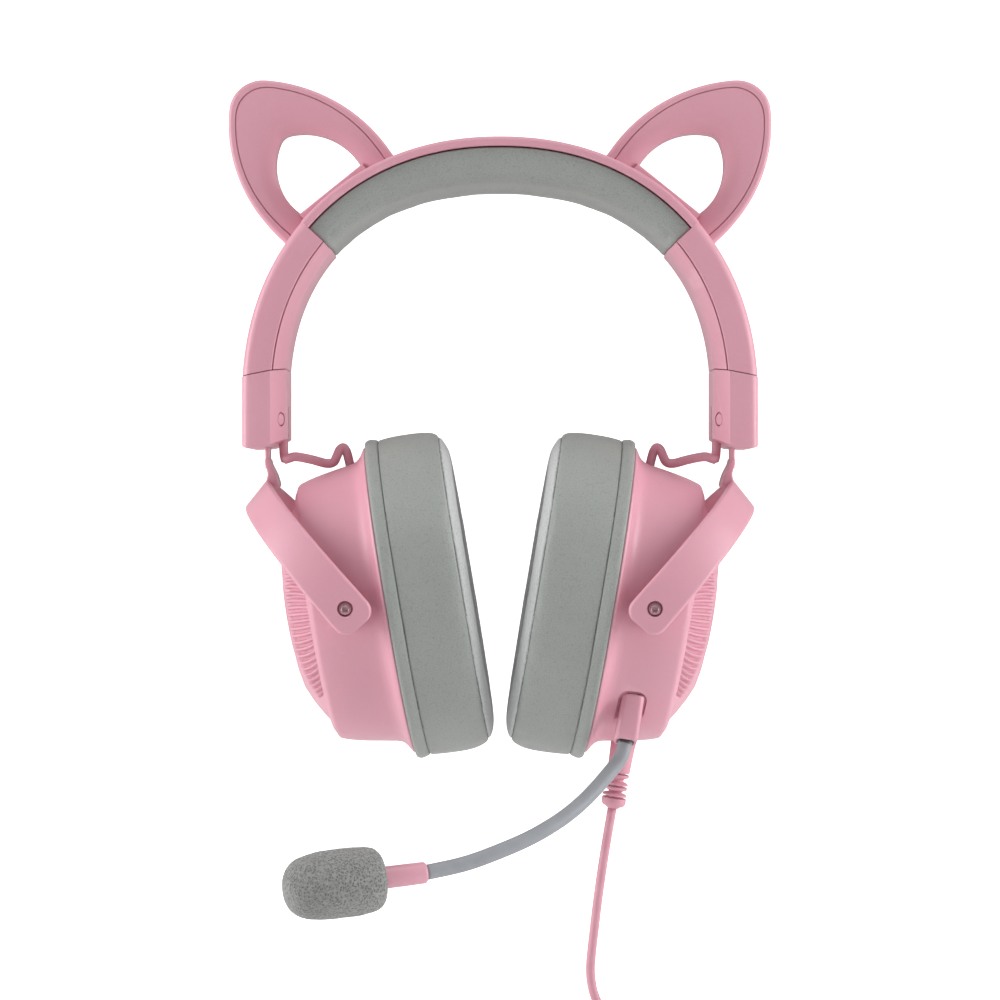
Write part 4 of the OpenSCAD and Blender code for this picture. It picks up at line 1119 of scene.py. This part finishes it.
# ---- Leads between the headband and the cups ----
LEAD_UPPER = [(LEAD_X, 0, -76), (LEAD_X, 0, -79), (LEAD_X, 0, -82.6), (70.1, -0.9, -85.4), (69.6, -2.6, -87.2)]
LEAD_LOWER = [(69.6, -2.6, -87.2), (68.2, -3.4, -86.8), (66, -3.2, -86.3), (61, -2.4, -87.2), (56.4, -1.8, -88.4),
              (54, -1.5, -88), (52.9, -1.2, -86), (52, -0.9, -84), (50.8, -0.6, -83.3), (49.8, -0.3, -84.8),
              (49.1, 0, -87.4), (48.5, 0, -90), (48.1, 0, -92.3)]


def make_leads(side, name):
    """Two pieces: one runs between the headband and the yoke, the other between the yoke and the cup."""
    for part, route, bodies in (
            ("upper", LEAD_UPPER, ("headband", f"yoke_{name}")),
            ("lower", LEAD_LOWER, (f"yoke_{name}", f"cup_{name}"))):
        points = [Vector((side * x, y, z)) for x, y, z in route]
        lead = tube(f"lead_{part}_{name}", blend_points(points, 6), LEAD_D / 2, pink_cord, 20)
        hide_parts(f"lead_{name}")
        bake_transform(lead)


# ---- Studio ----
FLOOR_Z = -0.36


def backdrop_material():
    """A pale sweep that looks white and lights the object only softly from below and behind."""
    look = Finish("studio_white", (240, 240, 240), 0.9)
    look.tint(look.noise(400, 2), (234, 234, 234), 0.3, 0.7, 0, 0.1)
    seen = look.add("ShaderNodeLightPath", "Is Camera Ray")
    look.set("Emission Color", (1, 1, 1, 1))
    look.link(look.remap(seen, 0, 1, 0.12, 1.0), look.surface["Emission Strength"])
    return look.material


def make_studio():
    """A floor that curves up into a wall behind the object."""
    half, depth_at, bend, height = 4.0, 1.6, 0.9, 3.2
    outline = [(-half, 0.0), (depth_at, 0.0)]
    outline += [(depth_at + bend * sin(a), bend - bend * cos(a))
                for a in (radians(d) for d in range(10, 91, 10))]
    outline.append((depth_at + bend, height))
    points = [Vector((x, y, FLOOR_Z + z)) / MM for y, z in outline for x in (-half, half)]
    mesh_from("studio_floor", points, grid_faces(len(outline), 2, wrap_columns=False), backdrop_material())


def soft_light(name, place, aim, size, power):
    data = fit(bpy.data.lights.new(name, "AREA"), shape="RECTANGLE", size=size[0], size_y=size[1], energy=power)
    turn = (Vector(aim) - Vector(place)).to_track_quat("-Z", "Y").to_euler()
    fit(add_object(name, data), location=place, rotation_euler=turn)


def make_lights():
    world = bpy.data.worlds.new("studio_world")
    world.use_nodes = True
    nodes, links = world.node_tree.nodes, world.node_tree.links
    nodes["Background"].inputs["Color"].default_value = (1, 1, 1, 1)
    glow = nodes.new("ShaderNodeMapRange")
    glow.inputs["To Min"].default_value = 0.2
    links.new(nodes.new("ShaderNodeLightPath").outputs["Is Camera Ray"], glow.inputs["Value"])
    links.new(glow.outputs["Result"], nodes["Background"].inputs["Strength"])
    scene.world = world
    middle = (0, 0, -0.08)
    soft_light("left_side", (-1.5, -0.3, 0.25), middle, (0.8, 1.2), 19)
    soft_light("right_side", (1.5, -0.3, 0.25), middle, (0.8, 1.2), 19)
    soft_light("top", (0, -0.25, 1.3), middle, (1.2, 0.9), 8)
    soft_light("front", (0, -1.6, 0.2), middle, (1.2, 1.0), 0.6)
    scene.view_settings.view_transform = "Standard"


# ---- Making everything ----
make_camera()
make_headband()
finish_kept_nodes()
for side, name in SIDES:
    for make in (make_end_cap, make_housing, make_grille, make_ear, make_leads, make_yoke, make_slider,
                 make_pivot_screws):
        make(side, name)
make_plug()
make_recess()
make_boom()
make_windscreen()
make_boot()
make_cushions()
make_head_pad()
cable_piece, cable_path, cable_length = make_cable()
make_studio()
make_lights()
